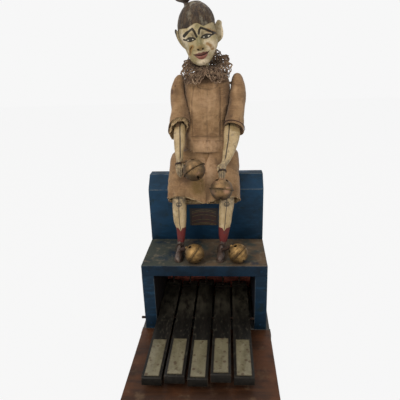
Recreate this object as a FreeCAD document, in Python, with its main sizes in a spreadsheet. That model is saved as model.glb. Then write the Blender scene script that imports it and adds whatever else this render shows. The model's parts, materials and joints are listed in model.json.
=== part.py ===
"""Key-played clown bell ringer: a wooden puppet sits on a stepped case and jingles four crotal bells.

Five keys rock on one steel axle at the front of the case. A pressed key lifts its bent wire push rod,
and the rod turns a crank inside the hollow body: keys 1 and 5 raise an arm, keys 2 and 4 lift a leg,
key 3 tips the head back. Each piece falls back by its own weight. Lengths are in millimetres.
Axes: +X to the onlooker's right, +Y to the rear, +Z up. The origin is at the middle of the underside.
"""
import FreeCAD, Part
import math
import os
import Sketcher

V = FreeCAD.Vector
X_AXIS = V(1, 0, 0)
Y_AXIS = V(0, 1, 0)
Z_AXIS = V(0, 0, 1)

# alias, value, what it measures. "back" is behind the case's front face, "height" is above the base's top.
SIZES = [
    ("base_width", 154, "base boards, across"),
    ("base_length", 236, "base boards together, front to rear"),
    ("base_thickness", 12, "base boards"),
    ("apron_length", 116, "apron board, from its front edge to the case"),
    ("board_chamfer", 1.2, "worn top edges of the base boards"),
    ("strap_length", 12, "iron strap over the joint of the base boards"),
    ("strap_height", 5, "iron strap"),
    ("strap_thickness", 1, "iron strap"),
    ("case_width", 145, "case, across"),
    ("case_depth", 105, "case, front to rear"),
    ("side_thickness", 14, "side boards"),
    ("shelf_height", 85, "top of the shelf that the feet stand on"),
    ("shelf_thickness", 13.4, "shelf board, seen as the front rail"),
    ("seat_height", 169.4, "top of the seat"),
    ("upper_setback", 73, "front panel, behind the case's front face"),
    ("panel_thickness", 5, "front panel and slope board"),
    ("slope_run", 16.4, "slope board, front to rear"),
    ("cap_thickness", 6, "seat cap"),
    ("back_thickness", 8, "back board"),
    ("lining_thickness", 1.2, "red felt on the back board"),
    ("guide_height", 88, "underside of the rod guide"),
    ("guide_thickness", 8, "rod guide"),
    ("label_width", 36, "printed label on the front panel"),
    ("label_length", 23.5, "printed label, up the panel"),
    ("label_height", 105, "lower edge of the label"),
    ("label_shift", -2.9, "middle of the label, off the case's middle"),
    ("label_thickness", 0.4, "printed label"),
    ("nail_radius", 1.3, "nail heads of the case"),
    ("nail_proud", 0.5, "nail heads of the case"),
    ("nail_inset", 7, "nail heads, from the edges of the boards"),
    ("key_width", 19.8, "keys"),
    ("key_pitch", 22.6, "keys, centre to centre"),
    ("key_shift", -2.4, "middle key, off the case's middle"),
    ("key_thickness", 9, "keys"),
    ("key_front_reach", 104, "key ahead of the axle"),
    ("key_rear_reach", 81, "key behind the axle"),
    ("key_chamfer", 0.8, "worn front edge of the keys"),
    ("key_lift_1", 0, "degrees that key 1 stands up at rest"),
    ("key_lift_2", 1.6, "degrees that key 2 stands up at rest"),
    ("key_lift_3", 0, "degrees that key 3 stands up at rest"),
    ("key_lift_4", 3.1, "degrees that key 4 stands up at rest"),
    ("key_lift_5", 1.6, "degrees that key 5 stands up at rest"),
    ("axle_back", 5.5, "axle"),
    ("axle_height", 11.5, "axle"),
    ("axle_radius", 1.5, "axle"),
    ("axle_stub", 5.5, "end of the axle that stands out of the left side"),
    ("plate_width", 14.6, "key plates"),
    ("plate_length", 54, "key plates"),
    ("plate_thickness", 0.9, "key plates"),
    ("plate_setback", 2.5, "key plates, behind the key's front end"),
    ("plate_pin_radius", 0.9, "pins of the key plates"),
    ("plate_pin_proud", 0.35, "pins of the key plates"),
    ("plate_pin_inset", 6, "pins, from the ends of the plate"),
    ("felt_length", 12, "felt pad on the rear end of a key"),
    ("felt_thickness", 1, "felt pad on the rear end of a key"),
    ("rail_thickness", 1.4, "rest rail under the keys"),
    ("rail_length", 14, "rest rail, front to rear"),
    ("rest_pad_width", 14, "pads of the rest rail"),
    ("running_clearance", 0.06, "radial clearance of every pivot"),
    ("seat_clearance", 0.3, "air between parts that rest on each other"),
    ("rod_radius", 1, "push rods"),
    ("rod_back", 80.5, "push rods"),
    ("rod_spacing", 6, "push rods inside the figure, centre to centre"),
    ("rod_bend_low", 106, "lower bend of the push rods"),
    ("rod_bend_high", 146, "upper bend of the push rods"),
    ("rod_foot_radius", 2.6, "foot disc of a push rod"),
    ("rod_foot_thickness", 1.2, "foot disc of a push rod"),
    ("rod_tip_radius", 2.2, "tip disc of a push rod"),
    ("rod_tip_thickness", 1, "tip disc of a push rod"),
    ("guide_clearance", 0.4, "radial clearance of the push rods in their guides"),
    ("figure_shift", 4, "middle of the figure, off the case's middle"),
    ("torso_width", 42, "hollow wooden body"),
    ("torso_front", 74.5, "hollow wooden body"),
    ("torso_depth", 30, "hollow wooden body"),
    ("torso_wall", 3, "hollow wooden body"),
    ("torso_top", 290, "hollow wooden body"),
    ("torso_round", 12, "corner radius of the wooden body"),
    ("crank_radius", 1.5, "shafts of the cranks"),
    ("finger_radius", 1.2, "fingers of the cranks"),
    ("web_thickness", 2, "webs of the cranks"),
    ("shoulder_back", 88.5, "shoulder shafts"),
    ("shoulder_height", 280.5, "shoulder shafts"),
    ("arm_left", -30.3, "left arm, off the case's middle"),
    ("arm_right", 40.2, "right arm, off the case's middle"),
    ("arm_radius", 5.2, "upper arms"),
    ("elbow_back", 70, "elbow pins"),
    ("elbow_height", 229, "elbow pins"),
    ("hip_back", 92.5, "hip shafts"),
    ("hip_height", 184, "hip shafts"),
    ("thigh_left", -27.5, "left thigh at the hip, off the case's middle"),
    ("thigh_right", 33.5, "right thigh at the hip, off the case's middle"),
    ("thigh_radius", 5.5, "thighs"),
    ("knee_back", 52, "knee pins"),
    ("knee_height", 150, "knee pins"),
    ("knee_left", -30.3, "left knee, off the case's middle"),
    ("knee_right", 26.5, "right knee, off the case's middle"),
    ("ankle_left", -30.2, "left ankle, off the case's middle"),
    ("ankle_right", 18.8, "right ankle, off the case's middle"),
    ("ankle_back", 37, "ankles"),
    ("ankle_height", 99, "ankles"),
    ("calf_width", 15.8, "lower legs at the knee, side to side"),
    ("calf_depth", 11.2, "lower legs at the knee, front to rear"),
    ("toe_back", 9.5, "toe caps"),
    ("heel_back", 42.5, "heels"),
    ("pin_radius", 1.1, "neck, elbow and knee pins"),
    ("neck_pin_inset", 2, "ends of the neck pin, inside the body's sides"),
    ("tongue_thickness", 3.6, "tongue of a limb joint"),
    ("tongue_radius", 4.2, "tongue of a limb joint"),
    ("fork_clearance", 0.35, "air beside a tongue in its fork"),
    ("hand_left", -25, "left hand, off the case's middle"),
    ("hand_left_back", 31, "left hand"),
    ("hand_left_height", 187.5, "left hand"),
    ("hand_right", 22.9, "right hand, off the case's middle"),
    ("hand_right_back", 19, "right hand"),
    ("hand_right_height", 188.5, "right hand"),
    ("hand_bell_radius", 12.4, "bells at the hands"),
    ("hand_bell_left", -9, "left hand bell, off the case's middle"),
    ("hand_bell_left_back", 24.5, "left hand bell"),
    ("hand_bell_left_height", 191.6, "left hand bell"),
    ("hand_bell_right", 21.2, "right hand bell, off the case's middle"),
    ("hand_bell_right_back", 12, "right hand bell"),
    ("hand_bell_right_height", 172.6, "right hand bell"),
    ("foot_bell_radius", 11.3, "bells at the feet"),
    ("foot_bell_left", -10.6, "left foot bell, off the case's middle"),
    ("foot_bell_left_back", 8, "left foot bell"),
    ("foot_bell_right", 39.4, "right foot bell, off the case's middle"),
    ("foot_bell_right_back", 9, "right foot bell"),
    ("bell_wall", 0.8, "sheet brass of the bells"),
    ("bell_rim", 1.1, "rolled rim, beyond the bell's radius"),
    ("bell_rim_height", 1.1, "rolled rim"),
    ("bell_slot", 1.8, "slot in the bell's lower half"),
    ("bell_hole_radius", 1.7, "round holes in the bell's upper half"),
    ("bell_shank_radius", 1.3, "shank between a bell and the limb"),
    ("pellet_radius", 2.6, "iron pellet in a bell"),
    ("neck_back", 97.5, "neck pin"),
    ("neck_height", 281.5, "neck pin"),
    ("neck_radius", 3.7, "neck dowel"),
    ("neck_slot", 13, "slot for the neck dowel in the body's top"),
    ("head_tilt", 10, "degrees that the head leans to the onlooker's left"),
    ("head_width", 41, "head without its ears"),
    ("head_depth", 46, "head"),
    ("head_height", 70, "head, chin to crown"),
    ("chin_rise", 19.5, "chin above the neck pin"),
    ("cloth_wall", 1.3, "cloth of the sleeves and trouser legs"),
    ("romper_width", 50, "romper at the chest"),
    ("romper_depth", 39, "romper at the chest"),
    ("romper_low", 199.5, "lower edge of the romper above the hips"),
    ("collar_width", 60, "lace collar"),
    ("collar_depth", 54, "lace collar"),
    ("collar_low", 283, "lower edge of the lace collar"),
    ("collar_front_high", 297, "upper edge of the lace collar in front"),
    ("collar_back_high", 313, "upper edge of the lace collar behind"),
    ("collar_neck", 12, "lace collar, radius of its neck hole"),
    ("sleeve_top_width", 16.4, "sleeves at the shoulder"),
    ("sleeve_hem_width", 21, "sleeves at the hem"),
    ("sleeve_rise", 10, "top of a sleeve, past the shoulder shaft"),
    ("sleeve_short", 0.7, "sleeves at mid hem, this far short of the elbow pin"),
    ("sleeve_hem_slant", 8, "hem of a sleeve, one hem width before and behind, off the middle"),
    ("trouser_outer", 44, "outer side of the trouser legs, off the case's middle"),
    ("trouser_middle", 1, "seam between the trouser legs, off the case's middle"),
    ("trouser_gap", 2.4, "air between the trouser legs"),
    ("trouser_radius", 13.6, "half thickness of the trouser legs"),
    ("hem_front_height", 150, "trouser hems in front"),
    ("hem_back_height", 139, "trouser hems behind"),
]

doc = FreeCAD.newDocument("ClownBellRinger")
sheet = doc.addObject("Spreadsheet::Sheet", "size")
for row, (alias, value, meaning) in enumerate(SIZES, start=1):
    sheet.set(f"A{row}", meaning)
    sheet.set(f"B{row}", str(value))
    sheet.setAlias(f"B{row}", alias)
doc.recompute()

PARTS = []
CASE_FRONT = "(size.apron_length - size.base_length / 2)"


def back(distance):
    """Y of a place that lies this far behind the case's front face, as an expression."""
    return f"({CASE_FRONT} + {distance})"


def above(height):
    """Z of a place that lies this far above the base's top, as an expression."""
    return f"(size.base_thickness + {height})"


def number(expression):
    """Value of an expression of the sheet."""
    found = sheet.evalExpression(str(expression))
    return float(getattr(found, "Value", found))


def point(x, y, z):
    """A place from three expressions: off the middle, behind the case's front, above the base's top."""
    return V(number(x), number(back(y)), number(above(z)))


def keep(thing, label):
    """Names a finished sub-part and lists it for export."""
    thing.Label = label
    PARTS.append(thing)
    return thing


def bind(thing, **expressions):
    for path, expression in expressions.items():
        thing.setExpression(path.replace("__", "."), str(expression))
    return thing


def place(thing, x, y, z):
    """Binds the place of an object to the sheet."""
    return bind(thing, Placement__Base__x=x, Placement__Base__y=y, Placement__Base__z=z)


def draw(body, plane, corners, name):
    """A sketch of one closed outline on a body's origin plane, each corner bound to the sheet."""
    sketch = body.newObject("Sketcher::SketchObject", name)
    origin = [o for o in body.Origin.OriginFeatures if o.Role == plane]
    sketch.AttachmentSupport = [(origin[0], "")]
    sketch.MapMode = "FlatFace"
    spots = [V(number(a), number(b), 0) for a, b in corners]
    count = len(spots)
    for i in range(count):
        sketch.addGeometry(Part.LineSegment(spots[i], spots[(i + 1) % count]))
    for i in range(count):
        sketch.addConstraint(Sketcher.Constraint("Coincident", i, 2, (i + 1) % count, 1))
    for i, pair in enumerate(corners):
        for kind, expression, start in zip(("DistanceX", "DistanceY"), pair, spots[i]):
            at = sketch.addConstraint(Sketcher.Constraint(kind, -1, 1, i, 1, start))
            sketch.setExpression(f"Constraints[{at}]", str(expression))
    return sketch


def draw_circles(body, plane, circles, name):
    """A sketch of circles (x, y, radius) on a body's origin plane."""
    sketch = body.newObject("Sketcher::SketchObject", name)
    origin = [o for o in body.Origin.OriginFeatures if o.Role == plane]
    sketch.AttachmentSupport = [(origin[0], "")]
    sketch.MapMode = "FlatFace"
    for i, (a, b, radius) in enumerate(circles):
        middle = V(number(a), number(b), 0)
        sketch.addGeometry(Part.Circle(middle, Z_AXIS, number(radius)))
        for kind, expression, start in (("DistanceX", a, middle.x), ("DistanceY", b, middle.y)):
            at = sketch.addConstraint(Sketcher.Constraint(kind, -1, 1, i, 3, start))
            sketch.setExpression(f"Constraints[{at}]", str(expression))
        at = sketch.addConstraint(Sketcher.Constraint("Radius", i, number(radius)))
        sketch.setExpression(f"Constraints[{at}]", str(radius))
    return sketch


def pad(body, sketch, length, side="One side"):
    feature = body.newObject("PartDesign::Pad", "Pad")
    feature.Profile = sketch
    feature.SideType = side
    bind(feature, Length=length)
    return feature


def pocket_through(body, sketch):
    """Cuts a sketch through the whole body, both ways, and makes sure that it cut."""
    doc.recompute()
    before = body.Shape.Volume
    feature = body.newObject("PartDesign::Pocket", "Pocket")
    feature.Profile = sketch
    feature.Type = "ThroughAll"
    feature.SideType = "Symmetric"
    doc.recompute()
    if body.Shape.Volume >= before:
        raise RuntimeError(f"a pocket of {body.Name} cuts nothing")
    return feature


def chamfer_edges(body, size, wanted):
    """Chamfers the edges for which wanted(edge) is true."""
    doc.recompute()
    tip = body.Tip
    names = [f"Edge{i}" for i, edge in enumerate(tip.Shape.Edges, start=1) if wanted(edge)]
    feature = body.newObject("PartDesign::Chamfer", "Chamfer")
    feature.Base = (tip, names)
    bind(feature, Size=size)
    return feature


def board(label, x, y, z):
    """A plain board between two expressions on each axis."""
    body = doc.addObject("PartDesign::Body", label)
    corners = [(x[0], y[0]), (x[1], y[0]), (x[1], y[1]), (x[0], y[1])]
    pad(body, draw(body, "XY_Plane", corners, "Outline"), f"{z[1]} - {z[0]}")
    bind(body, Placement__Base__z=z[0])
    return keep(body, label)


def across_board(label, corners, x_middle, width):
    """A board with an outline seen from the side, as wide as given about x_middle."""
    body = doc.addObject("PartDesign::Body", label)
    pad(body, draw(body, "YZ_Plane", corners, "Outline"), width, "Symmetric")
    bind(body, Placement__Base__x=x_middle)
    return keep(body, label)


def solid(label, shape):
    """A sub-part whose free form is worked out in code."""
    feature = doc.addObject("Part::Feature", label)
    feature.Shape = shape
    feature.Placement = FreeCAD.Placement()
    return keep(feature, label)


def ring(middle, along, half_x, half_v):
    """An ellipse about middle, square to along, half_x wide in X and half_v the other way."""
    normal = V(along).normalize()
    v = normal.cross(X_AXIS).normalize()
    x = v.cross(normal)
    turns = [math.radians(30 * i) for i in range(12)]
    spots = [middle + x * half_x * math.cos(t) + v * half_v * math.sin(t) for t in turns]
    curve = Part.BSplineCurve()
    curve.interpolate(spots, PeriodicFlag=True)
    return Part.Wire(curve.toShape())


def loft(rings):
    return Part.makeLoft(rings, True)


def rod_along_x(y, z, x_from, x_to, radius):
    """A round bar along X between two X values, at a Y and Z in the part's frame."""
    low = min(x_from, x_to)
    return Part.makeCylinder(radius, abs(x_to - x_from), V(low, y, z), X_AXIS)


def across_all(corners):
    """A block right across the part, with an outline (Y, Z) seen from the side."""
    wide = number("size.base_width")
    outline = [V(-wide / 2, y, z) for y, z in corners]
    return Part.Face(Part.makePolygon(outline + outline[:1])).extrude(V(wide, 0, 0))


# ---- base -----------------------------------------------------------------------------------------

HALF_BASE = "size.base_width / 2"
HALF_CASE = "size.case_width / 2"
INNER = f"({HALF_CASE} - size.side_thickness)"


def base_board(label, y):
    body = board(label, (f"-{HALF_BASE}", HALF_BASE), y, ("0", "size.base_thickness"))
    top = number("size.base_thickness")
    side = number(HALF_BASE)

    def is_long_top_edge(edge):
        box = edge.BoundBox
        return box.ZMin > top - 0.01 and abs(box.XMin) > side - 0.01 and box.XLength < 0.01

    chamfer_edges(body, "size.board_chamfer", is_long_top_edge)


base_board("apron_board", ("-size.base_length / 2", CASE_FRONT))
base_board("plinth_board", (CASE_FRONT, "size.base_length / 2"))

straps = []
for side in (-1, 1):
    strap = doc.addObject("Part::Box", "Strap")
    bind(strap, Length="size.strap_thickness", Width="size.strap_length", Height="size.strap_height")
    left = f"-{HALF_BASE} - size.strap_thickness" if side < 0 else HALF_BASE
    place(strap, left, back("-size.strap_length / 2"), "(size.base_thickness - size.strap_height) / 2")
    straps.append(strap)
joint_straps = doc.addObject("Part::Compound", "joint_straps")
joint_straps.Links = straps
keep(joint_straps, "joint_straps")

# ---- case -----------------------------------------------------------------------------------------

SHELF_LOW = above("size.shelf_height - size.shelf_thickness")
SHELF_TOP = above("size.shelf_height")
SEAT_TOP = above("size.seat_height")
SLOPE_LOW = above("size.seat_height - size.slope_run")
PANEL_FRONT = back("size.upper_setback")
PANEL_BACK = back("size.upper_setback + size.panel_thickness")
SLOPE_TOP = back("size.upper_setback + size.slope_run")
CASE_BACK = back("size.case_depth")
BACK_FRONT = back("size.case_depth - size.back_thickness")
BASE_TOP = above("0")
CAP_LOW = above("size.seat_height - size.cap_thickness")
SLOPE_SHIFT = f"size.panel_thickness * {math.sqrt(2)}"

side_outline = [
    (back("0"), BASE_TOP),
    (CASE_BACK, BASE_TOP),
    (CASE_BACK, CAP_LOW),
    (SLOPE_TOP, CAP_LOW),
    (SLOPE_TOP, f"{SEAT_TOP} - {SLOPE_SHIFT}"),
    (f"{PANEL_FRONT} + {SLOPE_SHIFT}", SLOPE_LOW),
    (PANEL_BACK, SLOPE_LOW),
    (PANEL_BACK, SHELF_LOW),
    (back("0"), SHELF_LOW),
]
for side, name in ((-1, "left"), (1, "right")):
    middle = f"{side} * ({HALF_CASE} - size.side_thickness / 2)"
    side_board = across_board(f"side_board_{name}", side_outline, middle, "size.side_thickness")
    seat = (back("size.axle_back"), above("size.axle_height"), "size.axle_radius + 0.02")
    pocket_through(side_board, draw_circles(side_board, "YZ_Plane", [seat], "AxleHole"))

board("shelf_board", (f"-{HALF_CASE}", HALF_CASE), (back("0"), PANEL_BACK), (SHELF_LOW, SHELF_TOP))
board("front_panel", (f"-{HALF_CASE}", HALF_CASE), (PANEL_FRONT, PANEL_BACK), (SHELF_TOP, SLOPE_LOW))
board("back_board", (f"-{INNER}", INNER), (BACK_FRONT, CASE_BACK), (BASE_TOP, CAP_LOW))
board("seat_cap", (f"-{HALF_CASE}", HALF_CASE), (SLOPE_TOP, CASE_BACK), (CAP_LOW, SEAT_TOP))
board(
    "felt_lining",
    (f"-{INNER}", INNER),
    (f"{BACK_FRONT} - size.lining_thickness", BACK_FRONT),
    (BASE_TOP, SHELF_LOW),
)
board(
    "front_label",
    ("size.label_shift - size.label_width / 2", "size.label_shift + size.label_width / 2"),
    (f"{PANEL_FRONT} - size.label_thickness", PANEL_FRONT),
    (above("size.label_height"), above("size.label_height + size.label_length")),
)


def key_x(index):
    return f"(size.key_shift + {index - 3} * size.key_pitch)"


def rod_x(index):
    return f"(size.figure_shift + {index - 3} * size.rod_spacing)"


GUIDE_HOLE = "(size.rod_radius + size.guide_clearance)"
slope_outline = [
    (PANEL_FRONT, SLOPE_LOW),
    (f"{PANEL_FRONT} + {SLOPE_SHIFT}", SLOPE_LOW),
    (SLOPE_TOP, f"{SEAT_TOP} - {SLOPE_SHIFT}"),
    (SLOPE_TOP, SEAT_TOP),
]
slope_board = across_board("slope_board", slope_outline, "0", "size.case_width")
upper_holes = [(rod_x(i), back("size.rod_back"), GUIDE_HOLE) for i in range(1, 6)]
pocket_through(slope_board, draw_circles(slope_board, "XY_Plane", upper_holes, "RodHoles"))

rod_guide = board(
    "rod_guide",
    (f"-{INNER}", INNER),
    (PANEL_BACK, BACK_FRONT),
    (above("size.guide_height"), above("size.guide_height + size.guide_thickness")),
)
lower_holes = [(key_x(i), back("size.rod_back"), GUIDE_HOLE) for i in range(1, 6)]
pocket_through(rod_guide, draw_circles(rod_guide, "XY_Plane", lower_holes, "RodHoles"))

nails = []
for side in (-1, 1):
    post = f"{side} * ({HALF_CASE} - size.nail_inset)"
    face = f"{side} * {HALF_CASE}"
    front_spots = ["size.nail_inset", "size.shelf_height - size.nail_inset"]
    side_spots = [
        ("size.nail_inset * 3", "size.shelf_height - size.shelf_thickness / 2"),
        ("size.upper_setback - size.nail_inset", "size.shelf_height - size.shelf_thickness / 2"),
        ("size.case_depth - size.back_thickness / 2", "size.nail_inset * 2"),
        ("size.case_depth - size.back_thickness / 2", "size.seat_height / 2"),
        ("size.case_depth - size.back_thickness / 2", "size.seat_height - size.nail_inset * 2"),
    ]
    for height in front_spots:
        nail = doc.addObject("Part::Cylinder", "NailHead")
        bind(nail, Radius="size.nail_radius", Height="size.nail_proud")
        nail.Placement.Rotation = FreeCAD.Rotation(X_AXIS, 90)
        nails.append(place(nail, post, back("0"), above(height)))
    for depth, height in side_spots:
        nail = doc.addObject("Part::Cylinder", "NailHead")
        bind(nail, Radius="size.nail_radius", Height="size.nail_proud")
        nail.Placement.Rotation = FreeCAD.Rotation(Y_AXIS, 90 * side)
        nails.append(place(nail, face, back(depth), above(height)))
case_nails = doc.addObject("Part::Compound", "case_nails")
case_nails.Links = nails
keep(case_nails, "case_nails")

# ---- keys -----------------------------------------------------------------------------------------

axle = doc.addObject("Part::Cylinder", "key_axle")
bind(axle, Radius="size.axle_radius", Height=f"{HALF_CASE} + size.axle_stub + {HALF_CASE}")
axle.Placement.Rotation = FreeCAD.Rotation(Y_AXIS, 90)
place(axle, f"-{HALF_CASE} - size.axle_stub", back("size.axle_back"), above("size.axle_height"))
keep(axle, "key_axle")


def hang_on_axle(body, index):
    """Puts a body whose own origin is the axle in its place, turned to the key's rest."""
    body.Placement.Rotation = FreeCAD.Rotation(X_AXIS, -1)
    place(body, key_x(index), back("size.axle_back"), above("size.axle_height"))
    bind(body, Placement__Rotation__Angle=f"-size.key_lift_{index} * 1 deg")


def make_key(index):
    half = "size.key_thickness / 2"
    bar = doc.addObject("PartDesign::Body", "KeyBar")
    front = "-size.key_front_reach"
    rear = "size.key_rear_reach"
    outline = [(front, f"-{half}"), (rear, f"-{half}"), (rear, half), (front, half)]
    pad(bar, draw(bar, "YZ_Plane", outline, "Outline"), "size.key_width", "Symmetric")
    hole = ("0", "0", "size.axle_radius + size.running_clearance")
    pocket_through(bar, draw_circles(bar, "YZ_Plane", [hole], "AxleHole"))
    tip_y = -number("size.key_front_reach")
    tip_z = number(half)

    def is_front_top_edge(edge):
        box = edge.BoundBox
        return box.YMax < tip_y + 0.01 and box.ZMin > tip_z - 0.01

    chamfer_edges(bar, "size.key_chamfer", is_front_top_edge)
    felt = doc.addObject("Part::Box", "KeyFelt")
    bind(felt, Length="size.key_width", Width="size.felt_length", Height="size.felt_thickness")
    place(felt, "-size.key_width / 2", f"{rear} - size.felt_length", half)
    key = doc.addObject("Part::Compound", f"key_{index}")
    key.Links = [bar, felt]
    hang_on_axle(key, index)
    return keep(key, f"key_{index}")


def make_key_plate(index):
    """The pale plate on a key's front, with the heads of its two pins."""
    low = "size.key_thickness / 2"
    front = "(size.plate_setback - size.key_front_reach)"
    plate = doc.addObject("Part::Box", "PlateSheet")
    bind(plate, Length="size.plate_width", Width="size.plate_length", Height="size.plate_thickness")
    place(plate, "-size.plate_width / 2", front, low)
    parts = [plate]
    for spot in ("size.plate_pin_inset", "size.plate_length - size.plate_pin_inset"):
        pin = doc.addObject("Part::Cylinder", "PlatePin")
        bind(pin, Radius="size.plate_pin_radius", Height="size.plate_thickness + size.plate_pin_proud")
        place(pin, "0", f"{front} + {spot}", low)
        parts.append(pin)
    pinned = doc.addObject("Part::MultiFuse", f"key_plate_{index}")
    pinned.Shapes = parts
    hang_on_axle(pinned, index)
    return keep(pinned, f"key_plate_{index}")


def rest_bottom(index, reach):
    """Height of a key's underside at rest, this far behind the axle, above the base's top."""
    lift = math.radians(number(f"size.key_lift_{index}"))
    half = number("size.key_thickness") / 2
    return number("size.axle_height") - reach * math.tan(lift) - half / math.cos(lift)


for index in range(1, 6):
    make_key(index)
    make_key_plate(index)

RAIL_BACK = "(size.axle_back + size.key_rear_reach - 2 * size.seat_clearance)"
board(
    "rest_rail",
    (f"-{INNER}", INNER),
    (back(f"{RAIL_BACK} - size.rail_length"), back(RAIL_BACK)),
    (BASE_TOP, above("size.rail_thickness")),
)
rest_pads = []
for index in range(1, 6):
    rail_top = number("size.rail_thickness")
    deep = rest_bottom(index, number("size.key_rear_reach")) - rail_top - number("size.seat_clearance")
    corner = point(f"{key_x(index)} - size.rest_pad_width / 2", f"{RAIL_BACK} - size.rail_length", "0")
    corner.z += rail_top
    rest_pads.append(
        Part.makeBox(number("size.rest_pad_width"), number("size.rail_length"), deep, corner)
    )
solid("rest_pads", Part.makeCompound(rest_pads))

# ---- push rods ------------------------------------------------------------------------------------


def make_push_rod(index, finger_height):
    """A bent wire from the felt of a key up to the underside of a crank's finger."""
    r = number("size.rod_radius")
    y = number(back("size.rod_back"))
    low_x = number(key_x(index))
    high_x = number(rod_x(index))
    lift = math.radians(number(f"size.key_lift_{index}"))
    reach = number("size.rod_back - size.axle_back") + number("size.rod_foot_radius")
    pad_top = number("size.key_thickness / 2 + size.felt_thickness") / math.cos(lift)
    floor = number(above("size.axle_height")) + pad_top + number("size.seat_clearance")
    foot = floor - (reach - 2 * number("size.rod_foot_radius")) * math.tan(lift)
    tip = number(above(finger_height)) - number("size.finger_radius + size.seat_clearance")
    bends = [number(above("size.rod_bend_low")), number(above("size.rod_bend_high"))]
    lower = V(low_x, y, bends[0])
    upper = V(high_x, y, bends[1])
    slant = upper - lower
    tip_disc = number("size.rod_tip_thickness")
    pieces = [
        Part.makeCylinder(number("size.rod_foot_radius"), number("size.rod_foot_thickness"), V(low_x, y, foot)),
        Part.makeCylinder(r, bends[0] - foot, V(low_x, y, foot)),
        Part.makeCylinder(r, slant.Length, lower, slant),
        Part.makeCylinder(r, tip - bends[1], upper),
        Part.makeSphere(r, lower),
        Part.makeSphere(r, upper),
        Part.makeCylinder(number("size.rod_tip_radius"), tip_disc, V(high_x, y, tip - tip_disc)),
    ]
    rod = pieces[0].fuse(pieces[1:]).removeSplitter()
    return solid(f"push_rod_{index}", rod)


FINGER_HEIGHTS = {
    1: "size.shoulder_height",
    2: "size.hip_height",
    3: "size.neck_height",
    4: "size.hip_height",
    5: "size.shoulder_height",
}
for index, finger_height in FINGER_HEIGHTS.items():
    make_push_rod(index, finger_height)

# ---- body of the figure ---------------------------------------------------------------------------

TORSO_LEFT = "(size.figure_shift - size.torso_width / 2)"
TORSO_RIGHT = "(size.figure_shift + size.torso_width / 2)"
TORSO_BACK = "(size.torso_front + size.torso_depth)"


def bound_box(name, x, y, z, grow="0"):
    """A Part::Box between expressions (Y behind the case's front, Z above the base's top)."""
    box = doc.addObject("Part::Box", name)
    bind(
        box,
        Length=f"{x[1]} - {x[0]} + 2 * {grow}",
        Width=f"{y[1]} - {y[0]} + 2 * {grow}",
        Height=f"{z[1]} - {z[0]}",
    )
    return place(box, f"{x[0]} - {grow}", back(f"{y[0]} - {grow}"), above(z[0]))


def rounded_upright(box, radius):
    """Rounds the four upright edges of a box."""
    doc.recompute()
    fillet = doc.addObject("Part::Fillet", f"{box.Name}Rounded")
    fillet.Base = box
    upright = [
        i for i, edge in enumerate(box.Shape.Edges, start=1)
        if edge.BoundBox.ZLength > edge.BoundBox.XLength + edge.BoundBox.YLength
    ]
    fillet.Edges = [(i, number(radius), number(radius)) for i in upright]
    return fillet


def bore_along_x(name, depth, height, radius):
    """A cylinder through the whole figure along X."""
    bore = doc.addObject("Part::Cylinder", name)
    bind(bore, Radius=radius, Height="2 * size.torso_width")
    bore.Placement.Rotation = FreeCAD.Rotation(Y_AXIS, 90)
    return place(bore, "size.figure_shift - size.torso_width", back(depth), above(height))


torso_x = (TORSO_LEFT, TORSO_RIGHT)
torso_y = ("size.torso_front", TORSO_BACK)
torso_z = ("size.seat_height", "size.torso_top")
torso_outer = rounded_upright(bound_box("TorsoOuter", torso_x, torso_y, torso_z), "size.torso_round")
torso_cavity = bound_box(
    "TorsoCavity",
    (f"({TORSO_LEFT} + size.torso_wall)", f"({TORSO_RIGHT} - size.torso_wall)"),
    ("(size.torso_front + size.torso_wall)", f"({TORSO_BACK} - size.torso_wall)"),
    ("size.seat_height", "(size.torso_top - size.torso_wall)"),
)
neck_slot = bound_box(
    "NeckSlot",
    ("(size.figure_shift - size.neck_slot / 2)", "(size.figure_shift + size.neck_slot / 2)"),
    ("(size.neck_back - size.neck_radius * 1.4)", "(size.neck_back + size.neck_radius + 1.9)"),
    ("(size.neck_height - size.neck_radius)", "(size.torso_top + 1)"),
)
PIVOT_HOLE = "size.crank_radius + size.running_clearance"
torso_tools = doc.addObject("Part::MultiFuse", "TorsoTools")
torso_tools.Shapes = [
    torso_cavity,
    neck_slot,
    bore_along_x("ShoulderBore", "size.shoulder_back", "size.shoulder_height", PIVOT_HOLE),
    bore_along_x("HipBore", "size.hip_back", "size.hip_height", PIVOT_HOLE),
    bore_along_x("NeckBore", "size.neck_back", "size.neck_height", "size.pin_radius + 0.02"),
]
torso_block = doc.addObject("Part::Cut", "torso_block")
torso_block.Base = torso_outer
torso_block.Tool = torso_tools
keep(torso_block, "torso_block")
doc.recompute()

neck_pin = doc.addObject("Part::Cylinder", "neck_pin")
bind(neck_pin, Radius="size.pin_radius", Height="size.torso_width - 2 * size.neck_pin_inset")
neck_pin.Placement.Rotation = FreeCAD.Rotation(Y_AXIS, 90)
place(neck_pin, f"{TORSO_LEFT} + size.neck_pin_inset", back("size.neck_back"), above("size.neck_height"))
keep(neck_pin, "neck_pin")


def make_crank(label, side, depth, height, pad_x, outer_x):
    """A shaft along X with a web and a finger over a push rod's tip. side is -1 left, 1 right."""
    shaft_y = number(back(depth))
    rod_y = number(back("size.rod_back"))
    z = number(above(height))
    x_pad = number(pad_x)
    tip = number("size.rod_tip_radius")
    web = number("size.web_thickness")
    web_inner = x_pad + side * (tip + number("size.seat_clearance"))
    web_outer = web_inner + side * web
    finger_end = x_pad - side * tip
    shaft_r = number("size.crank_radius")
    finger_r = number("size.finger_radius")
    shaft = rod_along_x(shaft_y, z, web_inner, number(outer_x), shaft_r)
    finger = rod_along_x(rod_y, z, web_outer, finger_end, finger_r)
    low_x = min(web_inner, web_outer)
    bar = Part.makeBox(web, shaft_y - rod_y, 2 * finger_r, V(low_x, rod_y, z - finger_r))
    crank = shaft.fuse([finger, bar]).removeSplitter()
    return solid(label, crank)


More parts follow.
